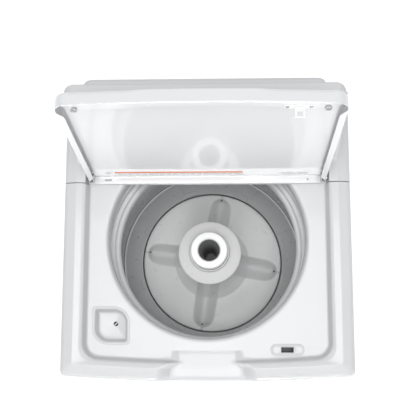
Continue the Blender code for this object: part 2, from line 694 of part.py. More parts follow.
def wash_basket():
    step, rim = 0.2130, BASKET_RADIUS
    profile = [
        (0.030, 0.3435), (0.206, 0.3435), (step + 0.001, 0.350), (step + 0.001, 0.3705), (rim - 0.0035, 0.4015),
        (rim + 0.0016, 0.414), (rim + 0.0016, BASKET_TOP_Z), (rim, BASKET_TOP_Z), (rim, 0.4145),
        (rim - 0.0045, 0.4035), (step, 0.3725), (step - 0.001, 0.3515), (0.205, 0.3451), (0.030, 0.3451),
    ]
    turned("wash_basket", profile, "stainless", AXIS)


def basket_hub():
    bore = 0.0130
    profile = [
        (bore, 0.3215), (0.036, 0.3215), (0.040, 0.334), (0.100, 0.3385), (0.100, 0.3432), (0.0295, 0.3432),
        (0.0295, 0.3500), (bore, 0.3500),
    ]
    turned("basket_hub", profile, "cast_alloy", AXIS, facets=SMALL_ROUND)


def balance_ring():
    """The liquid-filled ring at the basket's rim, with two steps down to its inner edge."""
    low = BASKET_TOP_Z + GAP
    profile = [
        (0.2232, low), (0.2676, low), (0.2676, 0.807), (0.263, 0.811), (0.249, 0.811), (0.245, 0.805),
        (0.2365, 0.803), (0.2330, 0.796), (0.2265, 0.793), (0.2232, 0.787),
    ]
    turned("balance_ring", profile, "pale_plastic", AXIS)


def agitator():
    """The bell-shaped base, its post and four rounded vanes."""
    edge = AGITATOR_RADIUS
    profile = [
        (0.0096, 0.430), (0.032, 0.430), (0.046, 0.402), (0.090, 0.380), (0.195, 0.366), (edge, 0.362),
        (edge, 0.370), (0.200, 0.375), (0.150, 0.386), (0.105, 0.402), (0.075, 0.430), (0.058, 0.470),
        (0.048, 0.540), (0.0435, 0.640), (0.0435, 0.6505), (0.020, 0.6505), (0.020, 0.462), (0.0096, 0.462),
    ]
    base = turned("agitator", profile, "grey_plastic", AXIS, facets=28)
    for i in range(4):
        vane = vane_shape(f"agitator_vane_{i}")
        vane.location = AXIS
        vane.rotation_euler = (0, 0, math.radians(VANE_START + 90 * i))
        join(base, vane)


VANE_START = -9


def vane_shape(name):
    """One rounded fin along +X, from the post down to a narrow tip near the rim."""
    shape = bmesh.new()
    sections = (
        # distance out, half width, foot, crest
        (0.030, 0.022, 0.500, 0.560),
        (0.060, 0.024, 0.455, 0.500),
        (0.110, 0.026, 0.393, 0.440),
        (0.160, 0.024, 0.378, 0.412),
        (0.190, 0.015, 0.372, 0.398),
    )
    rings = []
    for x, half, low, crest in sections:
        shoulder = (low + crest) / 2
        outline = [
            (-half, low), (-half * 0.80, shoulder), (-half * 0.35, crest),
            (half * 0.35, crest), (half * 0.80, shoulder), (half, low),
        ]
        rings.append([shape.verts.new((x, y, z)) for y, z in outline])
    count = len(rings[0])
    for first, second in zip(rings, rings[1:]):
        for i in range(count):
            after = (i + 1) % count
            shape.faces.new((first[i], first[after], second[after], second[i]))
    shape.faces.new(rings[0])
    shape.faces.new(rings[-1])
    return add_object(name, shape)


def softener_parts():
    cup = [
        (0, 0.6508), (0.044, 0.6508), (0.080, 0.6520), (0.0845, 0.6545), (0.0845, 0.6590), (0.080, 0.6625),
        (0.0535, 0.6800), (0.0525, 0.6940), (0.0500, 0.6940), (0.0500, 0.6600), (0.040, 0.6540), (0, 0.6540),
    ]
    turned("softener_dispenser", cup, "white_plastic", AXIS, facets=28)
    ring = [
        (0.0400, 0.6550), (0.0495, 0.6603), (0.0495, 0.7270), (0.0465, 0.7310), (0.0320, 0.7320),
        (0.0285, 0.7290), (0.0270, 0.7150), (0.0220, 0.6600), (0.0240, 0.6550),
    ]
    turned("softener_funnel", ring, "white_plastic", AXIS, facets=28)


def shafts():
    tube_low, tube_high = 0.2625, 0.3525
    spin_tube = [(0.0092, tube_low), (0.0127, tube_low), (0.0127, tube_high), (0.0092, tube_high)]
    turned("spin_tube", spin_tube, "bright_steel", AXIS, facets=SMALL_ROUND)
    cylinder("agitator_shaft", 0.0088, tube_low, 0.4615, "bright_steel", AXIS, facets=SMALL_ROUND)
    cylinder("agitator_bolt", 0.0140, 0.4625, 0.4710, "bright_steel", AXIS, facets=6)
    bore, rim = 0.0130, 0.0258
    bearing = [(bore, 0.2760), (rim, 0.2760), (rim, 0.2910), (bore, 0.2910)]
    turned("tub_bearing", bearing, "bright_steel", AXIS, facets=SMALL_ROUND)
    seal = [(bore, 0.2990), (rim, 0.2990), (rim, 0.3100), (0.0180, 0.3140), (bore, 0.3100)]
    turned("tub_seal", seal, "rubber", AXIS, facets=SMALL_ROUND)


# ---------------------------------------------------------------- suspension and drive
def tub_platform():
    """The steel cross under the tub that carries the gearcase and motor and rides on the springs."""
    high = PLATFORM_Z + 0.004
    reach = math.hypot(SUSPENSION_X, SUSPENSION_Y) + 0.020
    turn = math.atan2(SUSPENSION_Y, SUSPENSION_X)
    plate = cylinder("tub_platform", 0.125, PLATFORM_Z, high, "zinc_steel", AXIS, facets=36)
    for sign in (-1, 1):
        outline = rounded_box(-reach, reach, -0.020, 0.020, 0.012, 2)
        arm = prism(f"platform_arm_{sign}", outline, PLATFORM_Z, high, location=AXIS)
        arm.rotation_euler = (0, 0, sign * turn)
        join(plate, arm)
    tab_end = MOTOR_Y - TUB_Y + 0.060
    join(plate, block("platform_tab", (-0.050, 0.05, PLATFORM_Z), (0.050, tab_end, high), location=AXIS))
    cut(plate, cylinder("platform_bore", 0.0465, 0.2, 0.3, location=AXIS, facets=SMALL_ROUND))
    for side in (-1, 1):
        for end in (-1, 1):
            place = (side * SUSPENSION_X, TUB_Y + end * SUSPENSION_Y, 0)
            name = f"platform_rod_hole_{side}_{end}"
            cut(plate, cylinder(name, 0.0060, 0.2, 0.3, location=place, facets=TINY_ROUND))


def suspension():
    cap_z, seat_z = 0.135, GUSSET_Z + GUSSET_SHEET + GAP
    rod = [
        (0, cap_z), (0.017, cap_z), (0.017, cap_z + 0.006), (0.0036, cap_z + 0.006), (0.0036, seat_z),
        (0.0100, seat_z), (0.0100, seat_z + 0.006), (0.0060, seat_z + 0.011), (0, seat_z + 0.011),
    ]
    for side, x_label in ((-1, "left"), (1, "right")):
        for end, y_label in ((-1, "front"), (1, "rear")):
            place = (side * SUSPENSION_X, TUB_Y + end * SUSPENSION_Y, 0)
            turned(f"suspension_rod_{y_label}_{x_label}", rod, "bright_steel", place, facets=TINY_ROUND)
            spring(f"suspension_spring_{y_label}_{x_label}", place, cap_z + 0.006 + GAP, PLATFORM_Z - GAP)


def spring(name, place, low, high):
    """A helical spring between two heights, as a chain of wire sections."""
    wire, coil, turns, steps, sides = 0.0021, 0.0125, 5, 8, 4
    rise = high - low - 2 * wire
    shape = bmesh.new()
    rings = []
    for i in range(turns * steps + 1):
        share = i / (turns * steps)
        angle = math.tau * turns * share
        middle = Vector((coil * math.cos(angle), coil * math.sin(angle), low + wire + rise * share))
        outward = Vector((math.cos(angle), math.sin(angle), 0))
        ring = []
        for j in range(sides):
            round_wire = math.tau * j / sides
            offset = outward * math.cos(round_wire) + Vector((0, 0, 1)) * math.sin(round_wire)
            ring.append(shape.verts.new(middle + offset * wire))
        rings.append(ring)
    for first, second in zip(rings, rings[1:]):
        for j in range(sides):
            after = (j + 1) % sides
            shape.faces.new((first[j], first[after], second[after], second[j]))
    shape.faces.new(rings[0])
    shape.faces.new(rings[-1])
    return add_object(name, shape, "bright_steel", place)


def gearcase():
    profile = [
        (0, 0.172), (0.014, 0.172), (0.060, 0.176), (0.085, 0.192), (0.085, 0.250), (0.098, 0.254),
        (0.098, PLATFORM_Z - GAP), (0.0462, PLATFORM_Z - GAP), (0.0462, 0.2600), (0, 0.2600),
    ]
    turned("gearcase", profile, "cast_alloy", AXIS, facets=24)


def drive():
    """Pulleys with shallow belt grooves, the belt round them and the motor."""
    half = 0.008
    low, high = DRIVE_Z - half, DRIVE_Z + half
    groove, flange = 0.003, 0.002

    def rim(radius):
        return [
            (radius, low), (radius, low + flange), (radius - groove, low + flange),
            (radius - groove, high - flange), (radius, high - flange), (radius, high),
        ]

    big = [(0, low), *rim(PULLEY_RADIUS), (0.020, high), (0.010, high + 0.004), (0.010, 0.1715), (0, 0.1715)]
    turned("drive_pulley", big, "cast_alloy", AXIS, facets=24)
    small = [(0, low), *rim(MOTOR_PULLEY_RADIUS), (0.006, high), (0.006, 0.1700), (0, 0.1700)]
    turned("motor_pulley", small, "bright_steel", (0, MOTOR_Y, 0), facets=SMALL_ROUND)
    belt(groove)
    motor = [
        (0, 0.1705), (0.018, 0.1705), (0.020, 0.176), (0.056, 0.180), (0.062, 0.188), (0.062, 0.246),
        (0.056, 0.254), (0.040, 0.256), (0.040, PLATFORM_Z - GAP), (0, PLATFORM_Z - GAP),
    ]
    turned("motor", motor, "black_enamel", (0, MOTOR_Y, 0), facets=SMALL_ROUND)


def belt(groove):
    """A flat belt on the two pulleys, which are unequal, so its straight runs are tangents to both."""
    thickness, half = 0.0024, 0.0055
    span = MOTOR_Y - TUB_Y
    lean = math.degrees(math.asin((PULLEY_RADIUS - MOTOR_PULLEY_RADIUS) / span))

    def loop(extra):
        big = PULLEY_RADIUS - groove + 0.0006 + extra
        small = MOTOR_PULLEY_RADIUS - groove + 0.0006 + extra
        return arc((0, 0), big, 180 - lean, 360 + lean, 20) + arc((0, span), small, lean, 180 - lean, 10)

    outline = loop(thickness)
    made = prism("drive_belt", outline, DRIVE_Z - half, DRIVE_Z + half, "rubber", location=AXIS)
    cut(made, prism("belt_inside", loop(0), 0.1, 0.2, location=AXIS))


# ---------------------------------------------------------------- water
PUMP_X = -0.150
SUMP_Y = -0.200
PUMP_FRONT_Y = -0.165
PUMP_Z = 0.225
DRAIN_X = -0.262
DRAIN_EXIT_Z = 0.815
VALVE_X = 0.200
VALVE_Z = 0.815
VALVE_PORTS_X = (VALVE_X - 0.022, VALVE_X + 0.022)
SPOUT_X = 0.100
SPOUT_Y = 0.236


def drain_pump():
    place = (PUMP_X, 0, PUMP_Z)
    body = prism("drain_pump", arc((0, 0), 0.034, 0, 345, 23), PUMP_FRONT_Y, -0.085, "dark_plastic", "Y", place)
    outlet = prism("pump_outlet", circle(0.0115, (-0.100, 0.014)), -0.058, -0.020, along="X", location=place)
    join(body, outlet)
    chamber = arc((0, 0), 0.026, 0, 345, 23)
    cut(body, prism("pump_chamber", chamber, PUMP_FRONT_Y + 0.004, -0.128, along="Y", location=place))
    cut(body, prism("pump_inlet", circle(0.0095), -0.2, -0.150, along="Y", location=place))
    rotor = prism("pump_rotor", circle(0.0065), -0.158, -0.1285, "pale_plastic", "Y", place)
    for i in range(2):
        blade = block(f"pump_blade_{i}", (-0.022, -0.157, -0.0012), (0.022, -0.134, 0.0012), location=place)
        blade.rotation_euler = (0, math.radians(90 * i), 0)
        join(rotor, blade)


def hoses():
    sump = (PUMP_X, SUMP_Y, 0.3000 - GAP)
    pump_route = [
        sump, (PUMP_X, SUMP_Y, 0.272), (PUMP_X, SUMP_Y + 0.003, 0.246), (PUMP_X, SUMP_Y + 0.015, PUMP_Z),
        (PUMP_X, PUMP_FRONT_Y - GAP, PUMP_Z),
    ]
    tube("pump_hose", pump_route, 0.0130, "rubber")
    x, z = PUMP_X - 0.0595, PUMP_Z + 0.014
    drain_route = [
        (x, -0.100, z), (x - 0.022, -0.100, z), (-0.250, -0.085, 0.205), (-0.258, -0.030, 0.130),
        (DRAIN_X, 0.080, 0.085), (DRAIN_X, 0.200, 0.082), (DRAIN_X, 0.280, 0.115), (DRAIN_X, 0.312, 0.200),
        (DRAIN_X, 0.315, 0.400), (DRAIN_X, 0.315, 0.700), (DRAIN_X, 0.317, 0.785), (DRAIN_X, 0.3265, DRAIN_EXIT_Z),
        (DRAIN_X, 0.3390, DRAIN_EXIT_Z),
    ]
    tube("drain_hose", drain_route, 0.0115, "pale_plastic")
    fill_route = [
        (VALVE_X, 0.2925, VALVE_Z + 0.004), (VALVE_X, 0.280, VALVE_Z + 0.004), (0.190, 0.262, 0.838),
        (0.160, 0.248, 0.858), (0.120, 0.240, 0.862), (SPOUT_X, SPOUT_Y, 0.850), (SPOUT_X, SPOUT_Y, 0.826),
    ]
    tube("fill_hose", fill_route, 0.0085, "rubber")


def inlet_valve():
    low, high = VALVE_Z - 0.020, VALVE_Z + 0.020
    body = block("inlet_valve", (VALVE_X - 0.042, 0.294, low), (VALVE_X + 0.042, 0.322, high), "white_plastic")
    for i, x in enumerate(VALVE_PORTS_X):
        join(body, prism(f"valve_port_{i}", circle(0.0132, (x, VALVE_Z)), 0.320, 0.3392, along="Y"))
        cut(body, prism(f"valve_bore_{i}", circle(0.0100, (x, VALVE_Z)), 0.326, 0.345, along="Y"))
        place = (x, 0.308, 0)
        join(body, cylinder(f"valve_coil_{i}", 0.014, low - 0.034, low + 0.001, location=place, facets=TINY_ROUND))


clear_scene()
cabinet()
rear_panel()
base_frame()
feet()
top_cover()
bleach_dispenser()
rear_deck()
lid_lock()
lid()
lid_hinges()
console()
controls()
outer_tub()
tub_cover_ring()
wash_basket()
basket_hub()
balance_ring()
agitator()
softener_parts()
shafts()
tub_platform()
suspension()
gearcase()
drive()
drain_pump()
hoses()
inlet_valve()
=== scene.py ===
"""The looks of a top load washing machine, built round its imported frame.

Metres, in the frame's own axes: +Z up, the front faces -Y, the lid stands open at rest.
"""

import json
import math

import bmesh
import bpy
import numpy as np
from mathutils import Matrix, Vector

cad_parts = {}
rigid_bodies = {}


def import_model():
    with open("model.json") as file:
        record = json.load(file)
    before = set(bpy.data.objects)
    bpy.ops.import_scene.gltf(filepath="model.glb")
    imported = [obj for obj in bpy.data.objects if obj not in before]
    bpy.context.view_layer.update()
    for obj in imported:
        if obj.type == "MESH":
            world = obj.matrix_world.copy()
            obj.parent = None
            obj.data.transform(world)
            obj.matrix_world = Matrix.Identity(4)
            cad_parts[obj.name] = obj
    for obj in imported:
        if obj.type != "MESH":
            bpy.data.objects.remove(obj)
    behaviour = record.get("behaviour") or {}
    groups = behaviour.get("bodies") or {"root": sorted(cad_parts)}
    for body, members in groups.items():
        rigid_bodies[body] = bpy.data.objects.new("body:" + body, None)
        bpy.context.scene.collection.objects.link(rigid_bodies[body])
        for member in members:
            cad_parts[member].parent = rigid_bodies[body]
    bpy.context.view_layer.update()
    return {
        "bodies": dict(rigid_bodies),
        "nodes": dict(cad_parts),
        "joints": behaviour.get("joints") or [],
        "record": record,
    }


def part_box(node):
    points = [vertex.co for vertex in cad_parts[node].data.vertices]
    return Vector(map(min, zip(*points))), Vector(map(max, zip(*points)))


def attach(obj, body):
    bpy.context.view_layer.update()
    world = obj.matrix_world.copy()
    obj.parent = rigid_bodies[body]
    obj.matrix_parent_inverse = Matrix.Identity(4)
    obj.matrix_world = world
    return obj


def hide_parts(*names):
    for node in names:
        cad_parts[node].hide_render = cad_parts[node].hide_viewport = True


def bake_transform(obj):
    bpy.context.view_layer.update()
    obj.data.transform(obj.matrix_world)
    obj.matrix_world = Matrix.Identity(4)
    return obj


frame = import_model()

# ---------------------------------------------------------------- sizes, from the frame
COVER_LOW, COVER_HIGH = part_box("top_cover")
HALF = COVER_HIGH.x
RAIL_TOP = COVER_HIGH.z
FLANGE_Z = COVER_LOW.z
DECK = RAIL_TOP - 0.037
FRONT = COVER_LOW.y + 0.012  # front edge at the corners, behind the bow
FRONT_BOW = 0.012
SEAM_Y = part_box("rear_deck")[0].y
BACK_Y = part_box("rear_deck")[1].y
RIM_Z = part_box("rear_deck")[0].z
NOTCH_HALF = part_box("lid_hinge_right")[1].x + 0.0003
NOTCH_Y = 0.172
RECESS_HALF = 0.2865  # the deck's floor, between the rails
RECESS_BOW = 0.009
SHEET = 0.0016  # the deck's thickness
MOUTH_RADIUS = 0.2387
MOUTH_Y = -0.003
MOUTH_BACK_Y = 0.156
JOINTS = {joint["name"]: joint for joint in frame["joints"]}
HINGE = Vector(JOINTS["lid_hinge"]["pos_m"])
LID_ANGLE = math.radians(JOINTS["lid_hinge"]["range_deg"][1])
LID_PLACE = Matrix.Translation(HINGE) @ Matrix.Rotation(-LID_ANGLE, 4, "X")
TUB_Y = (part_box("wash_basket")[0].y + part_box("wash_basket")[1].y) / 2
TUB_PLACE = Matrix.Translation((0, TUB_Y, 0))
LOCK = Vector([sum(ends) / 2 for ends in zip(*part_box("lid_lock_bezel"))])
BLEACH = Vector([sum(ends) / 2 for ends in zip(*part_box("bleach_dispenser"))])


# ---------------------------------------------------------------- shape tools
def at(x, y, z):
    """A plain move."""
    return Matrix.Translation((x, y, z))


def spun(degrees, axis):
    """A turn about one axis."""
    return Matrix.Rotation(math.radians(degrees), 4, axis)


def full_turn(sides):
    """Evenly spaced angles for a full turn."""
    return np.linspace(0, math.tau, sides, endpoint=False)


def smooth(value, start, end):
    """0 before start, 1 after end and an S between them."""
    t = np.clip((value - start) / (end - start), 0, 1)
    return t * t * (3 - 2 * t)


def arc(centre, radius, start, end, steps):
    """Points on an arc, angles in degrees."""
    turns = np.radians(np.linspace(start, end, steps + 1))
    return [(centre[0] + radius * math.cos(a), centre[1] + radius * math.sin(a)) for a in turns]


def rounded(points, radii, steps=5):
    """A line through the points with each inner corner rounded to its radius."""
    line = [tuple(points[0])]
    for before, corner, after, radius in zip(points, points[1:], points[2:], radii):
        before, corner, after = Vector(before), Vector(corner), Vector(after)
        back, ahead = before - corner, after - corner
        reach = 0.0
        if back.length > 1e-9 and ahead.length > 1e-9:
            half_angle = back.angle(ahead) / 2
            reach = min(radius / max(math.tan(half_angle), 1e-6), 0.49 * back.length, 0.49 * ahead.length)
        first = corner + back.normalized() * reach
        last = corner + ahead.normalized() * reach
        for i in range(steps + 1):
            t = i / steps
            line.append(tuple(first * (1 - t) ** 2 + corner * 2 * t * (1 - t) + last * t * t))
    line.append(tuple(points[-1]))
    return line


def rounded_rectangle(half_x, half_y, radius, steps=6, centre=(0, 0)):
    """An outline, anticlockwise."""
    cx, cy = centre
    x, y = half_x - radius, half_y - radius
    return (
        arc((cx + x, cy - y), radius, -90, 0, steps)
        + arc((cx + x, cy + y), radius, 0, 90, steps)
        + arc((cx - x, cy + y), radius, 90, 180, steps)
        + arc((cx - x, cy - y), radius, 180, 270, steps)
    )


def grid_faces(rows, columns, loop_rows=False, loop_columns=False, start=0):
    """Four-sided faces between rows of points that are numbered row by row."""
    faces = []
    for i in range(rows if loop_rows else rows - 1):
        for j in range(columns if loop_columns else columns - 1):
            a, b = i * columns, ((i + 1) % rows) * columns
            k = (j + 1) % columns
            faces.append([start + a + j, start + a + k, start + b + k, start + b + j])
    return faces


def sharpen_rims(mesh):
    """Marks a sheet's open edges as sharp, so its wall keeps square edges once it has a thickness."""
    shape = bmesh.new()
    shape.from_mesh(mesh)
    for edge in shape.edges:
        if edge.is_boundary:
            edge.smooth = False
    shape.to_mesh(mesh)
    shape.free()


def surface(rows, loop_rows=False, loop_columns=False):
    """The points and faces of a sheet through rows of equally many points."""
    faces = grid_faces(len(rows), len(rows[0]), loop_rows, loop_columns)
    return [tuple(point) for row in rows for point in row], faces


def piece(name, points, faces, finish, body, replaces=(), place=None, sharp=45, thickness=0.0, even=True):
    """A smooth-shaded mesh that rides on a body. Its points are given before place moves them."""
    mesh = bpy.data.meshes.new(name)
    mesh.from_pydata([tuple(point) for point in points], [], faces)
    shape = bmesh.new()
    shape.from_mesh(mesh)
    bmesh.ops.remove_doubles(shape, verts=shape.verts, dist=2e-6)
    bmesh.ops.dissolve_degenerate(shape, edges=shape.edges, dist=1e-6)
    loose = [vert for vert in shape.verts if not vert.link_faces]
    bmesh.ops.delete(shape, geom=loose, context="VERTS")
    bmesh.ops.recalc_face_normals(shape, faces=shape.faces)
    if place is not None:
        bmesh.ops.transform(shape, matrix=place, verts=shape.verts)
    shape.to_mesh(mesh)
    shape.free()
    mesh.shade_smooth()
    mesh.set_sharp_from_angle(angle=math.radians(sharp))
    if thickness:
        sharpen_rims(mesh)
    made = bpy.data.objects.new(name, mesh)
    bpy.context.scene.collection.objects.link(made)
    mesh.materials.append(finish)
    if thickness:
        wall = made.modifiers.new("wall", "SOLIDIFY")
        wall.thickness = thickness
        wall.offset = -1
    if even:
        made.modifiers.new("even", "WEIGHTED_NORMAL").keep_sharp = True
    if body:
        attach(made, body)
    if replaces:
        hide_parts(*replaces)
    return made


def lathe(name, profile, finish, body, replaces=(), place=None, segments=128, closed=True, sharp=45,
          turns=None, shape=None):
    """Turns a profile of (radius, height) points about Z. A closed profile is a ring.

    shape, if given, takes each point's index, radius, height and the turns, and gives its radii and heights.
    """
    turns = full_turn(segments) if turns is None else turns
    points = []
    for index, (radius, height) in enumerate(profile):
        radii, heights = np.full(len(turns), radius), np.full(len(turns), height)
        if shape:
            radii, heights = shape(index, radius, height, turns)
        points += list(zip(radii * np.cos(turns), radii * np.sin(turns), heights))
    faces = grid_faces(len(profile), len(turns), loop_rows=closed, loop_columns=True)
    return piece(name, points, faces, finish, body, replaces, place, sharp)


def plate(name, outline, levels, finish, body, replaces=(), place=None):
    """A closed solid from an outline function of the inset, through (inset, height) levels."""
    points, count = [], None
    for inset, height in levels:
        ring = outline(inset)
        count = len(ring)
        points += [(x, y, height) for x, y in ring]
    faces = grid_faces(len(levels), count, loop_columns=True)
    faces.append(list(range(count)))
    faces.append(list(range(len(points) - count, len(points))))
    return piece(name, points, faces, finish, body, replaces, place)


def bars(name, places, finish, body, soft=0.0001):
    """Small raised bars in one piece, each given as its place, half length, half width and height."""
    points, faces = [], []
    for place, half_x, half_y, height in places:
        levels = [(0.0, -0.0002), (0.0, height - soft), (soft * 0.35, height - soft * 0.35), (soft, height)]
        start = len(points)
        for inset, z in levels:
            corner = max(min(half_x, half_y) * 0.6 - inset, 0.00002)
            ring = rounded_rectangle(half_x - inset, half_y - inset, corner, 2)
            points += [place @ Vector((x, y, z)) for x, y in ring]
        count = len(ring)
        faces += grid_faces(len(levels), count, loop_columns=True, start=start)
        faces.append([start + k for k in range(count)])
        faces.append([len(points) - count + k for k in range(count)])
    return piece(name, points, faces, finish, body)


def screws(name, places, finish, body, radius=0.0045):
    """Cross-headed screws in one piece, whose heads stand up along each place's Z."""
    rise = radius * 0.55
    dome = [(radius * math.cos(a), rise * math.sin(a)) for a in np.radians(np.linspace(0, 66, 6))]
    profile = [(radius * 0.5, -0.0012), (radius * 0.98, -0.0001), *dome]
    sides = 24
    points, faces = [], []
    for place in places:
        start = len(points)
        for size, height in profile:
            for a in full_turn(sides):
                points.append(place @ Vector((size * math.cos(a), size * math.sin(a), height)))
        for share, drop in ((0.97, 0.0), (0.80, rise * 0.5)):
            for a in full_turn(sides):
                reach = size * share * (1.0 if abs(math.sin(2 * a)) < 0.3 else 0.45)
                points.append(place @ Vector((reach * math.cos(a), reach * math.sin(a), height - drop)))
        points.append(place @ Vector((0, 0, height - rise * 0.5)))
        rings = len(profile) + 2
        faces += grid_faces(rings, sides, loop_columns=True, start=start)
        last = start + (rings - 1) * sides
        faces += [[last + k, last + (k + 1) % sides, len(points) - 1] for k in range(sides)]
        faces.append([start + k for k in range(sides)])
    return piece(name, points, faces, finish, body)


def through(points, steps):
    """A smooth line through the points."""
    knots = [np.array(point) for point in points]
    ends = [2 * knots[0] - knots[1], *knots, 2 * knots[-1] - knots[-2]]
    line = [tuple(knots[0])]
    for before, start, end, after in zip(ends, ends[1:], ends[2:], ends[3:]):
        for i in range(1, steps + 1):
            t = i / steps
            found = 2 * start + (end - before) * t + (2 * before - 5 * start + 4 * end - after) * t**2
            line.append(tuple(0.5 * (found + (3 * start - before - 3 * end + after) * t**3)))
    return line


# ---------------------------------------------------------------- finishes
def new_finish(name):
    """A material with its nodes, its links and its shader."""
    made = bpy.data.materials.new(name)
    made.use_nodes = True
    return made, made.node_tree.nodes, made.node_tree.links, made.node_tree.nodes["Principled BSDF"]


def noise(nodes, links, scale, detail=2.0, stretch=(1, 1, 1)):
    """Noise in the object's own metres. Scale is about how many blobs there are to a metre."""
    place = nodes.new("ShaderNodeTexCoord")
    mapping = nodes.new("ShaderNodeMapping")
    mapping.inputs["Scale"].default_value = stretch
    made = nodes.new("ShaderNodeTexNoise")
    made.inputs["Scale"].default_value = scale
    made.inputs["Detail"].default_value = detail
    links.new(place.outputs["Object"], mapping.inputs["Vector"])
    links.new(mapping.outputs["Vector"], made.inputs["Vector"])
    return made


def spread(nodes, links, source, low, high):
    """Maps the middle of a noise's values onto a range."""
    made = nodes.new("ShaderNodeMapRange")
    made.inputs["From Min"].default_value = 0.3
    made.inputs["From Max"].default_value = 0.7
    made.inputs["To Min"].default_value = low
    made.inputs["To Max"].default_value = high
    links.new(source.outputs["Fac"], made.inputs["Value"])
    return made


def tint(nodes, links, source, colour, other, shader):
    """Mixes two colours by a value into the base colour."""
    mix = nodes.new("ShaderNodeMix")
    mix.data_type = "RGBA"
    mix.inputs["A"].default_value = (*colour, 1)
    mix.inputs["B"].default_value = (*other, 1)
    links.new(source.outputs[0], mix.inputs["Factor"])
    links.new(mix.outputs["Result"], shader.inputs["Base Color"])


def add_bump(nodes, links, source, shader, height, strength):
    """Raises the surface by a value."""
    bump = nodes.new("ShaderNodeBump")
    bump.inputs["Distance"].default_value = height
    bump.inputs["Strength"].default_value = strength
    links.new(source.outputs[0], bump.inputs["Height"])
    links.new(bump.outputs["Normal"], shader.inputs["Normal"])


def shaded(name, colour, roughness, metallic=0.0, vary=0.04, rough_vary=0.05, grain=900, grain_height=0.00005,
           strength=0.25, cloud=9, coat=0.0, shine=0.5, stretch=(1, 1, 1), grain_stretch=(1, 1, 1)):
    """A finish with a clouded colour, uneven roughness and a fine grain."""
    made, nodes, links, shader = new_finish(name)
    shader.inputs["Metallic"].default_value = metallic
    shader.inputs["Specular IOR Level"].default_value = shine
    shader.inputs["Coat Weight"].default_value = coat
    shader.inputs["Coat Roughness"].default_value = 0.04
    clouds = noise(nodes, links, cloud, 3.0, stretch)
    darker = tuple(c * (1 - vary) for c in colour)
    tint(nodes, links, spread(nodes, links, clouds, 0, 1), colour, darker, shader)
    wear = noise(nodes, links, cloud * 5, 4.0, stretch)
    rough = spread(nodes, links, wear, roughness - rough_vary, roughness + rough_vary)
    links.new(rough.outputs[0], shader.inputs["Roughness"])
    fine = noise(nodes, links, grain, 2.0, grain_stretch)
    add_bump(nodes, links, fine, shader, grain_height, strength)
    made.diffuse_color = (*colour, 1)
    return made


ENAMEL = shaded("enamel", (0.615, 0.618, 0.626), 0.24, vary=0.012, rough_vary=0.03, grain=420,
                grain_height=0.00002, strength=0.12, coat=0.15, shine=0.25)
LID_ENAMEL = shaded("lid_enamel", (0.72, 0.725, 0.733), 0.15, vary=0.01, rough_vary=0.02, grain=300,
                    grain_height=0.00001, strength=0.06, coat=0.8)
WHITE_PLASTIC = shaded("white_plastic", (0.80, 0.80, 0.80), 0.38, vary=0.015, grain=2600,
                       grain_height=0.00003)
WHITE_SATIN = shaded("white_satin", (0.90, 0.90, 0.90), 0.30, vary=0.01, grain=2600, grain_height=0.00002)
# Console grey: partly the plastic's own tone and partly painted shade, darker for the open lid's shadow over
# it.
CONSOLE_GREY_AND_SHADE = shaded("console_grey_and_shade", (0.56, 0.563, 0.57), 0.42, vary=0.02, grain=2400,
                         grain_height=0.00004)
PALE_PLASTIC = shaded("pale_plastic", (0.70, 0.71, 0.715), 0.34, vary=0.03, grain=1800, grain_height=0.00004)
GREY_PLASTIC = shaded("grey_plastic", (0.40, 0.405, 0.405), 0.30, vary=0.05, grain=1500, grain_height=0.00004,
                      strength=0.3)
OVERLAY = shaded("console_overlay", (0.30, 0.31, 0.32), 0.38, vary=0.015, rough_vary=0.008, grain=2200,
                 grain_height=0.00001, coat=0.1)
PRINT_GREY = shaded("print_grey", (0.12, 0.13, 0.14), 0.45, vary=0.05)
PRINT_SOFT = shaded("print_soft", (0.42, 0.43, 0.44), 0.45, vary=0.05)
PRINT_PALE = shaded("print_pale", (0.78, 0.79, 0.80), 0.40, vary=0.03)
LABEL = shaded("label_paper", (0.74, 0.75, 0.76), 0.45, vary=0.03, grain=700)
LABEL_ORANGE = shaded("label_orange", (0.72, 0.16, 0.05), 0.45, vary=0.10, cloud=40)
BLACK_PLASTIC = shaded("black_plastic", (0.018, 0.018, 0.019), 0.45, vary=0.2, grain=1600)
DARK = shaded("shadow_black", (0.006, 0.006, 0.006), 0.7, vary=0.3)
RUBBER = shaded("rubber", (0.03, 0.03, 0.031), 0.75, vary=0.25, rough_vary=0.08, grain=700,
                grain_height=0.0001)
STAINLESS = shaded("stainless", (0.58, 0.585, 0.59), 0.26, metallic=1.0, vary=0.06, rough_vary=0.03,
                   grain=90, grain_height=0.00001, strength=0.08, cloud=6, stretch=(1, 1, 0.2),
                   grain_stretch=(1, 1, 22))
# Paler and less metallic than the stainless, so the basket's bead shows as a bright line all round: steel
# with a painted highlight.
BEAD_STEEL_AND_HIGHLIGHT = shaded("bead_steel_and_highlight", (0.86, 0.865, 0.87), 0.52, metallic=0.45, vary=0.04, grain=700,
                     grain_height=0.00001)
PLATED = shaded("plated_steel", (0.62, 0.62, 0.63), 0.32, metallic=1.0, vary=0.12, rough_vary=0.08, grain=500)
CHROME = shaded("chrome", (0.72, 0.72, 0.73), 0.10, metallic=1.0, vary=0.04, rough_vary=0.03, grain=500,
                grain_height=0.00001)
ZINC = shaded("zinc_steel", (0.56, 0.575, 0.59), 0.42, metallic=0.9, vary=0.18, rough_vary=0.08, grain=260,
              cloud=70)
ALLOY = shaded("cast_alloy", (0.48, 0.48, 0.485), 0.50, metallic=0.8, vary=0.15, grain=900,
               grain_height=0.0002, strength=0.5, cloud=30)
FLOOR_STEEL = shaded("floor_steel", (0.66, 0.665, 0.67), 0.30, metallic=0.3, vary=0.04, rough_vary=0.03,
                     grain=1200, grain_height=0.00001, strength=0.1, cloud=12)
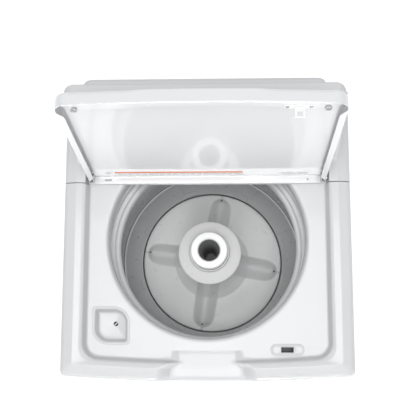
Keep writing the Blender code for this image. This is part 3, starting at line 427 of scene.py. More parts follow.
AGITATOR_GREY = shaded("agitator_grey", (0.84, 0.845, 0.845), 0.30, vary=0.03, rough_vary=0.03, grain=1500,
                       grain_height=0.00001, strength=0.1, coat=0.4, shine=1.0, cloud=12)
# Darker than the softener ring's white, for the shade down its bore: painted shade.
BORE_PAINTED_SHADE = shaded("bore_painted_shade", (0.34, 0.342, 0.345), 0.50, vary=0.05, grain=1500)
BOARD = shaded("board_green", (0.03, 0.16, 0.07), 0.45, vary=0.2, grain=300)
BLACK_ENAMEL = shaded("black_enamel", (0.02, 0.02, 0.022), 0.35, vary=0.2, coat=0.3)
BLUE_RING = shaded("cold_blue", (0.03, 0.12, 0.45), 0.40, vary=0.08)
RED_RING = shaded("hot_red", (0.50, 0.04, 0.03), 0.40, vary=0.08)
INDICATOR = shaded("indicator_green", (0.10, 0.45, 0.16), 0.25, vary=0.05, coat=0.4)

FRAME_FINISHES = {  # by the frame's material slots
    "white_enamel": ENAMEL, "white_plastic": WHITE_PLASTIC, "white_gloss": LID_ENAMEL,
    "pale_plastic": PALE_PLASTIC, "grey_plastic": GREY_PLASTIC, "dark_plastic": BLACK_PLASTIC,
    "stainless": STAINLESS, "bright_steel": PLATED, "zinc_steel": ZINC, "cast_alloy": ALLOY,
    "rubber": RUBBER, "board_green": BOARD, "black_enamel": BLACK_ENAMEL,
}


def dress_frame():
    """Every node of the frame gets its finish and softened edges."""
    for row in frame["record"]["subparts"]:
        node = frame["nodes"][row["node"]]
        node.data.materials.clear()
        node.data.materials.append(FRAME_FINISHES[row["material_slot"]])
        weld = node.modifiers.new("weld", "WELD")
        weld.merge_threshold = 0.00001
        edge = node.modifiers.new("edge", "BEVEL")
        edge.width = 0.0003
        edge.segments = 1
        edge.limit_method = "ANGLE"
        edge.angle_limit = math.radians(50)


# ---------------------------------------------------------------- deck
FRONT_MARKS = sorted(
    {
        sign * round(mark, 4)
        for sign in (-1, 1)
        for mark in [*np.linspace(0, 0.27, 9), *np.linspace(0.275, 0.36, 18), *np.linspace(0.39, 1, 16)]
    }
)
SIDE_STEPS = 14
CORNER_STEPS = 12


def deck_line(half, front, bow, radius, back):
    """Points down the left side, across the bowed front and up the right side of the deck."""
    flat = half - radius
    left = [(-half, y) for y in np.linspace(back, front + radius, SIDE_STEPS)][:-1]
    middle = [(mark * flat, front - bow * (1 - mark * mark)) for mark in FRONT_MARKS[1:-1]]
    right = [(half, y) for y in np.linspace(front + radius, back, SIDE_STEPS)][1:]
    corner_left = arc((-flat, front + radius), radius, 180, 270, CORNER_STEPS)
    corner_right = arc((flat, front + radius), radius, -90, 0, CORNER_STEPS)
    return np.array(left + corner_left + middle + corner_right + right)


def column_marks():
    """Where each column crosses the front, from -1 to 1. Columns of the sides are further out."""
    ends = SIDE_STEPS - 1 + CORNER_STEPS
    return np.array([-2.0] * ends + FRONT_MARKS + [2.0] * ends)


MARKS = column_marks()
RAIL_STATIONS = (0.0, 0.029, 0.0505, 0.0565, 0.0665)
RAIL_SECTION = rounded(
    [(0, RIM_Z), (0, RAIL_TOP - 0.012), (0.007, RAIL_TOP - 0.0055), (0.029, RAIL_TOP),
     (0.044, RAIL_TOP - 0.0024), (0.0510, RAIL_TOP - 0.0055), (0.0565, DECK), (0.0665, DECK)],
    [0.008, 0.014, 0.010, 0.006, 0.010, 0.009],
    8,
)


def deck_stations():
    """The outer edge, the rail's crest, the top and foot of its inner side, and a line in on the floor."""
    back = SEAM_Y - 0.0013
    margin = 0.010 + 0.013 * (1 - smooth(np.abs(MARKS), 0.37, 0.46))
    floor = deck_line(RECESS_HALF, FRONT + 0.044, RECESS_BOW, 0.034, back)
    inner = floor.copy()
    front_columns = np.abs(MARKS) <= 1
    inner_all = deck_line(RECESS_HALF - 0.010, FRONT + 0.054, RECESS_BOW, 0.026, back)
    inner[~front_columns] = inner_all[~front_columns]
    inner[front_columns, 1] = floor[front_columns, 1] + margin[front_columns]
    inner[front_columns, 0] = inner_all[front_columns, 0]
    return [
        deck_line(HALF, FRONT, FRONT_BOW, 0.014, back),
        deck_line(HALF - 0.029, FRONT + 0.028, 0.0115, 0.010, back),
        deck_line(RECESS_HALF + 0.006, FRONT + 0.038, RECESS_BOW, 0.040, back),
        floor,
        inner,
    ]


def rail_point(stations, across):
    """The row of points at one distance in from the outer edge, blended between the stations."""
    for first, second, start, end in zip(stations, stations[1:], RAIL_STATIONS, RAIL_STATIONS[1:]):
        if across <= end + 1e-9:
            share = (across - start) / (end - start)
            return first * (1 - share) + second * share
    return stations[-1]


def scooped(row, height):
    """Sinks a row of the rail or floor into the hand recess at the middle of the front."""
    x, y, out = row[:, 0], row[:, 1], np.abs(MARKS)
    side = 1 - smooth(out, 0.255, 0.365)
    deep = side * smooth(-y, 0.2630, 0.2790)
    floor = DECK - 0.0078 + 0.0020 * smooth(-y, 0.278, 0.315) - 0.0030 * smooth(-y, 0.326, 0.340)
    z = height - deep * np.maximum(0, height - floor)
    flare = 0.006 * np.sign(MARKS) * smooth(out, 0.15, 0.31) * (1 - smooth(out, 0.33, 0.6))
    x = x + flare * (smooth(-y, 0.292, 0.312) - 0.5)
    return np.column_stack([x, y, z])


def mouth_line(spread_out):
    """The round opening with its straight back, spread outwards."""
    radius = MOUTH_RADIUS + spread_out
    back = MOUTH_BACK_Y + spread_out
    corner = 0.030 + spread_out
    reach = math.sqrt((radius - corner) ** 2 - (back - corner - MOUTH_Y) ** 2)
    turn = math.degrees(math.atan2(back - corner - MOUTH_Y, reach))
    line = arc((0, MOUTH_Y), radius, 180 - turn, 360 + turn, 150)
    line += arc((reach, back - corner), corner, turn, 90, 10)[1:]
    line += [(reach * (1 - 2 * i / 24), back) for i in range(1, 24)]
    line += arc((-reach, back - corner), corner, 90, 180 - turn, 10)[:-1]
    return line


def leaf_line(inset):
    """The bleach cup's leaf outline: square at two corners and widely round at the others."""
    half, wide, tight = 0.037 - inset, max(0.031 - inset, 0.004), max(0.004 - inset * 0.4, 0.002)
    x0, x1, y0, y1 = BLEACH.x - half, BLEACH.x + half, BLEACH.y - half, BLEACH.y + half
    corners = [
        arc((x1 - tight, y0 + tight), tight, -90, 0, 4),
        arc((x1 - wide, y1 - wide), wide, 0, 90, 10),
        arc((x0 + tight, y1 - tight), tight, 90, 180, 4),
        arc((x0 + wide, y0 + wide), wide, 180, 270, 10),
    ]
    line = []
    for corner, after in zip(corners, corners[1:] + corners[:1]):
        (x, y), (next_x, next_y) = corner[-1], after[0]
        line += corner + [(x + (next_x - x) * t, y + (next_y - y) * t) for t in np.arange(1, 12) / 12]
    return line


def flat_fill(outer, holes, height):
    """Triangles that fill an outline round its holes, as (points, faces)."""
    shape = bmesh.new()
    edges = []
    for line in [outer, *holes]:
        verts = [shape.verts.new((x, y, height)) for x, y in line]
        edges += [shape.edges.new((a, b)) for a, b in zip(verts, verts[1:] + verts[:1])]
    bmesh.ops.triangle_fill(shape, edges=edges, use_beauty=True, normal=(0, 0, 1))
    shape.verts.index_update()
    points = [tuple(vert.co) for vert in shape.verts]
    faces = [[vert.index for vert in face.verts] for face in shape.faces]
    shape.free()
    return points, faces


def lock_line(inset=0.0):
    """The slot's outline in the deck."""
    return rounded_rectangle(0.0165 - inset, 0.0080 - inset, 0.002, 3, (LOCK.x, LOCK.y))


def top_cover():
    """The rails, the scoop, the deck's floor with its openings, and the mouth's turned-down lip."""
    stations = deck_stations()
    rows = [scooped(rail_point(stations, across), height) for across, height in RAIL_SECTION]
    extra = [stations[3] * (1 - t) + stations[4] * t for t in np.linspace(0, 1, 9)]
    rows = rows[:-1] + [scooped(row, DECK) for row in extra]
    points, faces = surface(rows)

    edge_x, back = NOTCH_HALF - 0.0004, NOTCH_Y - 0.0015
    start, end = tuple(rows[-1][0][:2]), tuple(rows[-1][-1][:2])
    outline = [tuple(point[:2]) for point in rows[-1]]
    outline += [(edge_x, end[1]), (edge_x, back), (-edge_x, back), (-edge_x, start[1])]
    lip = rounded([(0.020, DECK), (0.004, DECK), (0.0, DECK - 0.012), (0.0, FLANGE_Z)], [0.018, 0.010], 7)
    holes = [mouth_line(0.020), leaf_line(-0.0015), lock_line(-0.0008)]
    fill_points, fill_faces = flat_fill(outline, holes, DECK)
    faces += [[index + len(points) for index in face] for face in fill_faces]
    points += fill_points
    lip_rows = [[(x, y, z) for x, y in mouth_line(out)] for out, z in lip]
    faces += grid_faces(len(lip_rows), len(lip_rows[0]), loop_columns=True, start=len(points))
    points += [point for row in lip_rows for point in row]
    piece("deck", points, faces, ENAMEL, "cabinet", ["top_cover"], sharp=60, thickness=SHEET)


def rear_deck():
    """The rails' rear part, the upright wall behind the lid and the platform under the console."""
    top = RAIL_TOP - 0.0028
    half_section = rounded(
        [(0, RIM_Z), (0, RAIL_TOP - 0.012), (0.007, RAIL_TOP - 0.0055), (0.029, RAIL_TOP), (0.046, top),
         (0.050, top)],
        [0.006, 0.010, 0.004, 0.004],
    )
    wall_x = HALF - NOTCH_HALF
    half_section += [(d, top) for d in np.linspace(wall_x - 0.0035, wall_x + 0.001, 9)]
    half_section += [(d, top) for d in np.linspace(wall_x + 0.012, HALF, 14)]
    left = [(-HALF + d, z) for d, z in half_section]
    section = left[:-1] + [(-x, z) for x, z in reversed(left)]
    depths = [*np.linspace(SEAM_Y + 0.0004, NOTCH_Y - 0.006, 5)]
    depths += [*np.linspace(NOTCH_Y - 0.001, NOTCH_Y + 0.004, 10)]
    edge = 0.006
    depths += [*np.linspace(NOTCH_Y + 0.010, BACK_Y - edge, 12)]
    rows = []
    for y in depths:
        row = []
        for x, z in section:
            crown = 0.0028 * smooth(y, NOTCH_Y + 0.004, NOTCH_Y + 0.014) * smooth(HALF - abs(x), 0.036, 0.050)
            notch = 1 - smooth(abs(x), NOTCH_HALF, NOTCH_HALF + 0.0035)
            notch *= 1 - smooth(y, NOTCH_Y, NOTCH_Y + 0.0035)
            row.append((x, y, z + crown - notch * (z + crown - DECK - 0.0006)))
        rows.append(row)
    for turn in np.radians(np.linspace(15, 90, 6)):
        back = BACK_Y - edge * (1 - math.sin(turn))
        drop = edge * (1 - math.cos(turn))
        rows.append([(x, back, max(z - drop, RIM_Z)) for x, _y, z in rows[len(depths) - 1]])
    rows.append([(x, BACK_Y, RIM_Z) for x, _z in section])
    piece("rear_deck_panel", *surface(rows), ENAMEL, "cabinet", ["rear_deck"], sharp=60, thickness=SHEET)


def bleach_cup():
    """A lip on the deck, sloping walls, a floor that falls to a barred drain."""
    top, floor = DECK + 0.0018, 0.8635
    drain = np.array([BLEACH.x + 0.008, BLEACH.y + 0.004])
    well = 0.0056
    levels = [(-0.008, DECK + 0.0003), (-0.0078, DECK + 0.0006), (-0.0064, top - 0.0003), (-0.0046, top)]
    levels += [(-0.0030, top - 0.0003), (-0.0018, top - 0.0014), (-0.0004, DECK - 0.0030)]
    levels += [(0.0016, DECK - 0.010), (0.0035, floor + 0.0055), (0.0050, floor + 0.0034)]
    levels += [(0.0075, floor + 0.0024), (0.0105, floor + 0.0020)]
    points = [(x, y, height) for inset, height in levels for x, y in leaf_line(inset)]
    last = np.array(leaf_line(levels[-1][0]))
    turns = np.arctan2(last[:, 1] - drain[1], last[:, 0] - drain[0])
    rim = drain + well * np.column_stack([np.cos(turns), np.sin(turns)])
    for share in (0.12, 0.25, 0.40, 0.55, 0.70, 0.82, 0.92, 1.0):
        height = floor + 0.0020 * (1 - share)
        points += [(x, y, height) for x, y in last * (1 - share) + rim * share]
    points += [(x, y, floor - 0.0008) for x, y in drain + (rim - drain) * 0.95]
    points += [(x, y, floor - 0.0110) for x, y in drain + (rim - drain) * 0.93]
    faces = grid_faces(len(points) // len(last), len(last), loop_columns=True)
    piece("bleach_cup", points, faces, ENAMEL, "cabinet", ["bleach_dispenser"], thickness=0.0012)
    levels = [(0.0004, -0.0010), (0.0, -0.0006), (0.0, 0.0010), (0.0004, 0.0014)]
    plate("bleach_drain_bar", lambda e: rounded_rectangle(0.0052 - e, 0.0010 - e, 0.0006 - e * 0.8, 3),
          levels, WHITE_PLASTIC, "cabinet", place=at(*drain, floor - 0.0026) @ spun(45, "Z"))
    # A near-black cup inside the drain: painted shade down the hole.
    shade_cup = [(0.0, -0.0100), (0.0050, -0.0100), (0.00505, -0.0018), (0.0052, -0.0018), (0.0052, -0.0104)]
    lathe("bleach_drain_well", [*shade_cup, (0.0, -0.0104)], DARK, "cabinet", place=at(*drain, floor),
          segments=32, closed=False)


def lid_lock():
    """The raised oblong dish in the deck, whose middle turns down into the lock's slot."""
    def dish(inset):
        return rounded_rectangle(0.040 - inset, 0.0142 - inset, 0.0138 - inset, 10, (LOCK.x, LOCK.y))

    def mixed(inset, share):
        """From the dish's outline at share 0 to the slot's at share 1."""
        outer = np.array(dish(inset))
        inner = np.array(rounded_rectangle(0.0146, 0.0066, 0.0016, 10, (LOCK.x, LOCK.y)))
        return outer * (1 - share) + inner * share

    rings = [(0, 0, 0.0001), (0.0005, 0, 0.0012), (0.0016, 0, 0.0021), (0.0030, 0, 0.0022)]
    rings += [(0.0046, 0, 0.0016), (0.0062, 0, 0.0009)]
    rings += [(0.0070, 0.30, 0.0008), (0.0070, 0.72, 0.0009), (0.0070, 0.84, 0.0018)]
    rings += [(0.0070, 0.93, 0.0019), (0.0070, 1.0, 0.0013), (0.0070, 1.0, -0.0050)]
    rows = [[(x, y, DECK + rise) for x, y in mixed(inset, share)] for inset, share, rise in rings]
    piece("lid_lock_dish", *surface(rows, loop_columns=True), ENAMEL, "cabinet", ["lid_lock_bezel"],
          thickness=0.0008)


# ---------------------------------------------------------------- lid
LID_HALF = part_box("lid_shell")[1].x + 0.0010
LID_FRONT = -0.421
LID_REAR = 0.012
LID_TOP = 0.020
LID_RIM = -0.010
LID_WALL = 0.0015
LID_INSIDE = 0.0098
LID_CORNER = 0.030
LID_BOW = 0.0088
LID_MARGIN = 0.022  # from the lid's edge in to where its two panels begin
LID_CROWN = 0.0022


def lid_columns():
    """For each column round the lid: its point at no inset, the direction of an inset and its zone."""
    columns = []
    half, front, rear, corner, tail = LID_HALF, LID_FRONT, LID_REAR, LID_CORNER, 0.006
    for x, y in arc((-half + tail, rear - tail), tail, 90, 180, 6):
        columns.append(((x, y), (-half + tail, rear - tail), "rear"))
    side_marks = [*np.linspace(rear - tail, front + 0.075, 34)[1:]]
    side_marks += [*np.linspace(front + 0.072, front + corner + 0.002, 20)]
    for y in side_marks:
        columns.append(((-half, y), None, "left"))
    for x, y in arc((-half + corner, front + corner), corner, 180, 270, 20):
        columns.append(((x, y), (-half + corner, front + corner), "corner"))
    flat = half - corner
    near = np.linspace(flat - 0.002, flat - 0.040, 18)
    front_marks = [*-near, *np.linspace(-flat + 0.044, flat - 0.044, 60), *reversed(near)]
    for x in front_marks:
        columns.append(((x, front - LID_BOW * (1 - (x / flat) ** 2)), None, "front"))
    for x, y in arc((half - corner, front + corner), corner, -90, 0, 20):
        columns.append(((x, y), (half - corner, front + corner), "corner"))
    for y in reversed(side_marks):
        columns.append(((half, y), None, "right"))
    for x, y in arc((half - tail, rear - tail), tail, 0, 90, 6):
        columns.append(((x, y), (half - tail, rear - tail), "rear"))
    for x in np.linspace(half - tail, -half + tail, 40)[1:-1]:
        columns.append(((x, rear), None, "rear"))
    return columns


def lid_inset(column, inset):
    """The point of a column at an inset. Columns near a rear corner end on its mitre."""
    (x, y), centre, zone = column
    if centre is not None:
        away = Vector((x - centre[0], y - centre[1]))
        reach = away.length - inset
        if reach >= 0.0004:
            away = away.normalized() * reach
            return centre[0] + away.x, centre[1] + away.y
        past = inset - away.length + 0.0004
        return centre[0] - math.copysign(past, centre[0]), centre[1] - past
    inner_x, inner_y = LID_HALF - inset - 0.0004, LID_REAR - inset - 0.0004
    if zone == "left":
        return x + inset, min(y, inner_y)
    if zone == "right":
        return x - inset, min(y, inner_y)
    return (x, y + inset) if zone == "front" else (min(max(x, -inner_x), inner_x), y - inset)


def lid_flange_width(column):
    """How far the rim turns in: a narrow strip along the sides, a band at the front, none at the rear."""
    (x, y), _centre, zone = column
    if zone in ("left", "right"):
        ends = smooth(y, LID_FRONT + 0.034, LID_FRONT + 0.060) * (1 - smooth(y, -0.024, -0.006))
        return 0.0125 * float(ends)
    if zone == "front":
        grip = float(1 - smooth(abs(x), 0.105, 0.145))
        return (0.021 - 0.006 * grip) * float(1 - smooth(abs(x), 0.236, 0.2545))
    return 0.0


def lid_section(column):
    """The wall's section, from the underside of the panel round the rim to the outer panel."""
    (x, _y), _centre, zone = column
    turn_in = lid_flange_width(column)
    crown_edge = 0.008
    if zone == "front":
        crown_edge = 0.011 - 0.007 * float(1 - smooth(abs(x), 0.105, 0.15))
    inside = LID_WALL
    fillet = 0.006 if zone != "rear" else 0.004
    corners = [
        (LID_MARGIN, LID_INSIDE), (inside, LID_INSIDE), (inside, LID_RIM + LID_WALL),
        (inside + turn_in, LID_RIM + LID_WALL), (inside + turn_in, LID_RIM), (0, LID_RIM), (0, LID_TOP),
        (LID_MARGIN, LID_TOP),
    ]
    return rounded(corners, [fillet, 0.0015, 0.0006, 0.0006, 0.0025, crown_edge], 6)


def lid_shell():
    """The lid with its outer panel, its rim and the panel inside it."""
    columns = lid_columns()
    sections = [lid_section(column) for column in columns]
    count = len(sections[0])
    rows = []
    for i in range(count):
        row = []
        for column, section in zip(columns, sections):
            inset, z = section[i]
            row.append((*lid_inset(column, inset), z))
        rows.append(row)
    middle_y = (LID_FRONT + LID_REAR) / 2

    def panel(rim_row):
        """Rows from the panel's edge in to its middle, gently crowned."""
        reach_x, reach_y = LID_HALF - LID_MARGIN, (LID_REAR - LID_FRONT) / 2 - LID_MARGIN
        found = []
        for share in (0.97, 0.93, 0.86, 0.76, 0.64, 0.50, 0.36, 0.22, 0.10, 0.0):
            row = []
            for rim_x, rim_y, z in rim_row:
                x, along = rim_x * share, (rim_y - middle_y) * share
                crown = max((1 - (x / reach_x) ** 2) * (1 - (along / reach_y) ** 2), 0)
                row.append((x, middle_y + along, z + LID_CROWN * crown * smooth(1 - share, 0, 0.12)))
            found.append(row)
        return found

    rows = list(reversed(panel(rows[0]))) + rows + panel(rows[-1])
    sheet = surface(rows, loop_columns=True)
    piece("lid_panel", *sheet, LID_ENAMEL, "lid", ["lid_shell"], LID_PLACE, sharp=60)


# ---------------------------------------------------------------- lid fittings
def on_lid(x, y, z=LID_INSIDE):
    """A place on the lid whose Z axis stands out of the lid's underside."""
    return LID_PLACE @ at(x, y, z) @ spun(180, "X")


def lid_labels():
    """Plain strips with bars in place of print."""
    strips = (
        ("lid_label_stripe", -0.2225, 0.0865, -0.0180, -0.0115, LABEL_ORANGE, 0.00045),
        ("lid_label", -0.2225, 0.0865, -0.0113, 0.0030, LABEL, 0.0004),
        ("lid_plate_label", 0.1690, 0.2475, -0.0130, 0.0010, LABEL, 0.0004),
    )
    for name, x0, x1, y0, y1, finish, height in strips:
        half_x, half_y = (x1 - x0) / 2, (y1 - y0) / 2
        levels = [(0, -0.0002), (0, height - 0.0001), (0.0001, height)]
        plate(name, lambda e: rounded_rectangle(half_x - e, half_y - e, 0.0012, 3), levels, finish, "lid",
              place=on_lid((x0 + x1) / 2, (y0 + y1) / 2))
    rows = []
    print_z, tall = LID_INSIDE - 0.00035, 0.00025
    for line, y in enumerate((-0.0084, -0.0054, -0.0024, 0.0006)):
        x = -0.216
        while x < 0.078:
            length = 0.010 + 0.012 * ((math.sin(x * 91 + line * 7) + 1) / 2)
            rows.append((on_lid(x + length / 2, y, print_z), length / 2, 0.0006, tall))
            x += length + 0.0035
    for line, y in enumerate((-0.0100, -0.0068, -0.0036)):
        rows.append((on_lid(0.190 + 0.004 * line, y, print_z), 0.016, 0.0006, tall))
        rows.append((on_lid(0.230, y, print_z), 0.012, 0.0008, tall))
    rows.append((on_lid(-0.2395, -0.0080), 0.0050, 0.0026, 0.0004))
    bars("lid_label_print", rows, PRINT_SOFT, "lid")


def lid_slots():
    """Two rimmed openings in the lid's rear wall."""
    wall = LID_REAR - LID_WALL
    for name, x, half_x in (("lid_slot", -0.2415, 0.0095), ("lid_hole", 0.2440, 0.0030)):
        place = LID_PLACE @ at(x, wall, -0.0005) @ spun(90, "X")
        ring = [(-0.0012, -0.0004), (-0.0012, 0.0003), (-0.0008, 0.0006), (0.0002, 0.0006), (0.0005, 0.0002)]
        plate(name + "_rim", lambda e: rounded_rectangle(half_x - e, 0.0030 - e, 0.0029 - e, 6), ring,
              WHITE_PLASTIC, "lid", place=place)
        levels = [(0.0005, 0.0), (0.0005, 0.00075), (0.0006, 0.0008)]
        plate(name, lambda e: rounded_rectangle(half_x - e, 0.0030 - e, 0.0024 - e, 6), levels, GREY_PLASTIC,
              "lid", place=place)


def lid_fittings():
    """The strike's screws, and the bumper and hinge at each side."""
    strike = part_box("lid_strike")
    lock_x, lock_y = (strike[0].x + strike[1].x) / 2, LOCK.y - HINGE.y
    places = [on_lid(lock_x + side * 0.0230, lock_y, LID_RIM - 0.0022) for side in (-1, 1)]
    screws("lid_strike_screws", places, ZINC, "lid", 0.0042)
    bumper = rounded(
        [(0.0, -0.0105), (0.0050, -0.0105), (0.0062, -0.0120), (0.0076, -0.0165), (0.0060, -0.0175),
         (0.0042, -0.0170), (0.0040, -0.0150), (0.0, -0.0150)],
        [0.0005, 0.0010, 0.0012, 0.0010, 0.0005, 0.0004], 3)
    bushing = rounded(
        [(0.0042, -0.002), (0.0072, -0.002), (0.0072, 0.0035), (0.0060, 0.0050), (0.0042, 0.0050)],
        [0.0008, 0.0006, 0.0006], 3)
    boss = rounded([(0.0, -0.0026), (0.0100, -0.0026), (0.0105, -0.0010), (0.0105, 0.0), (0.0, 0.0)],
                   [0.0006, 0.0008, 0.0004], 3)
    pin = rounded([(0.0, -0.0005), (0.0040, -0.0005), (0.0040, 0.0138), (0.0032, 0.0150), (0.0, 0.0150)],
                  [0.0002, 0.0010, 0.0006], 3)
    boss_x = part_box("lid_hinge_right")[0].x + 0.0026
    for side, label in ((-1, "left"), (1, "right")):
        low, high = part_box("lid_bumper_" + label)
        middle = LID_PLACE.inverted() @ ((low + high) / 2)
        lathe("lid_bumper_ring_" + label, bumper, GREY_PLASTIC, "lid", ["lid_bumper_" + label],
              place=LID_PLACE @ at(middle.x, middle.y, LID_RIM + 0.0114), segments=40, closed=False)
        inward, outward = spun(-side * 90, "Y"), spun(side * 90, "Y")
        lathe("lid_hinge_bushing_" + label, bushing, BLACK_PLASTIC, "lid",
              place=at(side * (LID_HALF - LID_WALL - 0.0032), HINGE.y, HINGE.z) @ inward, segments=32)
        lathe("lid_hinge_boss_" + label, boss, PLATED, "cabinet", ["lid_hinge_" + label],
              place=at(side * boss_x, HINGE.y, HINGE.z) @ outward, segments=40, closed=False)
        lathe("lid_hinge_pin_" + label, pin, PLATED, "cabinet",
              place=at(side * 0.2885, HINGE.y, HINGE.z) @ inward, segments=28, closed=False)


# ---------------------------------------------------------------- tub, basket and agitator
def outer_ring():
    """The splash ring on the tub."""
    profile = [
        (0.297, 0.7975), (0.297, 0.806), (0.290, 0.812), (0.284, 0.826), (0.262, 0.836), (0.2450, 0.836),
        (0.2425, 0.832), (0.2445, 0.829), (0.261, 0.832), (0.2815, 0.823), (0.287, 0.811), (0.288, 0.7975),
    ]
    line = rounded(profile, [0.001, 0.004, 0.006, 0.010, 0.003, 0.001, 0.001, 0.008, 0.006, 0.004], 4)
    lathe("tub_ring", line, PALE_PLASTIC, "tub", ["tub_cover_ring"], TUB_PLACE)


def balance_ring():
    """The stepped ring that closes the top of the basket."""
    low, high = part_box("balance_ring")[0].z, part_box("balance_ring")[1].z
    profile = [
        (0.2232, low), (0.2676, low), (0.2676, high - 0.004), (0.263, high), (0.249, high),
        (0.245, high - 0.006), (0.2365, high - 0.008), (0.2330, high - 0.015), (0.2265, high - 0.018),
        (0.2232, high - 0.024),
    ]
    line = rounded([*profile, profile[0]], [0.001, 0.002, 0.003, 0.003, 0.002, 0.002, 0.002, 0.002, 0.003], 4)
    lathe("balance_ring_shell", line[:-1], PALE_PLASTIC, "basket", ["balance_ring"], TUB_PLACE, segments=160)


def basket_wall():
    """The drum's perforated wall. Every second cell has a round hole."""
    radius, low, high = 0.2660, 0.4145, 0.7700
    columns, rows, hole = 96, 20, 0.0014
    points, faces = [], []

    def add(turn, height):
        points.append((radius * math.cos(turn), radius * math.sin(turn), height))
        return len(points) - 1

    turn_step, height_step = math.tau / columns, (high - low) / rows
    grid = [[add(i * turn_step, low + j * height_step) for i in range(columns)] for j in range(rows + 1)]
    for j in range(rows):
        for i in range(columns):
            k = (i + 1) % columns
            corners = [grid[j][i], grid[j][k], grid[j + 1][k], grid[j + 1][i]]
            if (i + j) % 2 or j in (0, rows - 1):
                faces.append(corners)
                continue
            turn, height = (i + 0.5) * turn_step, low + (j + 0.5) * height_step
            rim = []
            for k in range(8):
                angle = math.radians(-112.5 + 45 * k)
                rim.append(add(turn + hole * math.cos(angle) / radius, height + hole * math.sin(angle)))
            for k in range(4):
                first, second = rim[2 * k], rim[2 * k + 1]
                faces.append([corners[k], corners[(k + 1) % 4], second, first])
                faces.append([corners[(k + 1) % 4], rim[(2 * k + 2) % 8], second])
    top = [add(i * turn_step, 0.7758) for i in range(columns)]
    for i in range(columns):
        k = (i + 1) % columns
        faces.append([grid[rows][i], grid[rows][k], top[k], top[i]])
    piece("basket_wall", points, faces, STAINLESS, "basket", ["wash_basket"], TUB_PLACE, thickness=-0.0012,
          even=False)
    # The bead's pale finish is partly a painted highlight.
    bead = [(0.2627 + 0.0028 * math.cos(a), 0.4114 + 0.0028 * math.sin(a)) for a in full_turn(12)]
    lathe("basket_bead", bead, BEAD_STEEL_AND_HIGHLIGHT, "basket", place=TUB_PLACE, segments=192)


PAD_TURNS = np.radians(90 - 27.7 + 45 * np.arange(8))
PAD_HALF = math.radians(5.3)


def basket_floor():
    """The drum's dished floor, with eight pads outlined by grooves in its sloping outer band."""
    edges = [pad + side * PAD_HALF for pad in PAD_TURNS for side in (-1, 1)]
    turns = set(np.round(full_turn(192), 5))
    shifts = (-0.0105, -0.0066, -0.0022, 0.0022, 0.0066, 0.0105)
    for edge in edges:
        turns |= {round((edge + shift) % math.tau, 5) for shift in shifts}
    turns = np.array(sorted(turns))

    def away(angles, centre):
        return np.abs((angles - centre + math.pi) % math.tau - math.pi)

    gap = np.min([away(turns, edge) for edge in edges], axis=0)
    inside = np.max([1 - smooth(away(turns, pad), PAD_HALF - 0.006, PAD_HALF) for pad in PAD_TURNS], axis=0)
    groove = 1 - smooth(gap, 0.0022, 0.0068)
    band_radius, band_height, slope = 0.2132, 0.3735, 0.6418
    top = rounded(
        [(0.2652, 0.4150), (0.2648, 0.4125), (0.2615, 0.4045), (band_radius, band_height), (0.2120, 0.3515),
         (0.205, 0.3451), (0.030, 0.3451)],
        [0.0008, 0.004, 0.003, 0.004, 0.006], 5)
    radii = [0.2585, 0.2560, 0.2500, 0.2420, 0.2340, 0.2290, 0.2272, 0.2262, 0.2252, 0.2242, 0.2225, 0.2200]
    band = [(radius, band_height + (radius - band_radius) * slope) for radius in [*radii, 0.2175]]
    top = top[:13] + band + top[13:]
    under = [(0.030, 0.3437), (0.2058, 0.3437), (0.2137, 0.3505), (0.2145, 0.3722), (0.2622, 0.4028)]
    under.append((0.2655, 0.4140))

    def cut_grooves(_index, radius, height, angles):
        if height < band_height - 0.0010:
            return np.full(len(angles), radius), np.full(len(angles), height)
        along = float(smooth(radius, 0.2135, 0.2160) * (1 - smooth(radius, 0.2590, 0.2620)))
        across = inside * (1 - float(smooth(abs(radius - 0.2257), 0.0006, 0.0017)))
        depth = 0.0046 * np.maximum(groove * along, across * 0.8)
        return np.full(len(angles), radius), height - depth

    lathe("basket_floor", top + under, FLOOR_STEEL, "basket", place=TUB_PLACE, turns=turns, shape=cut_grooves,
          sharp=35)


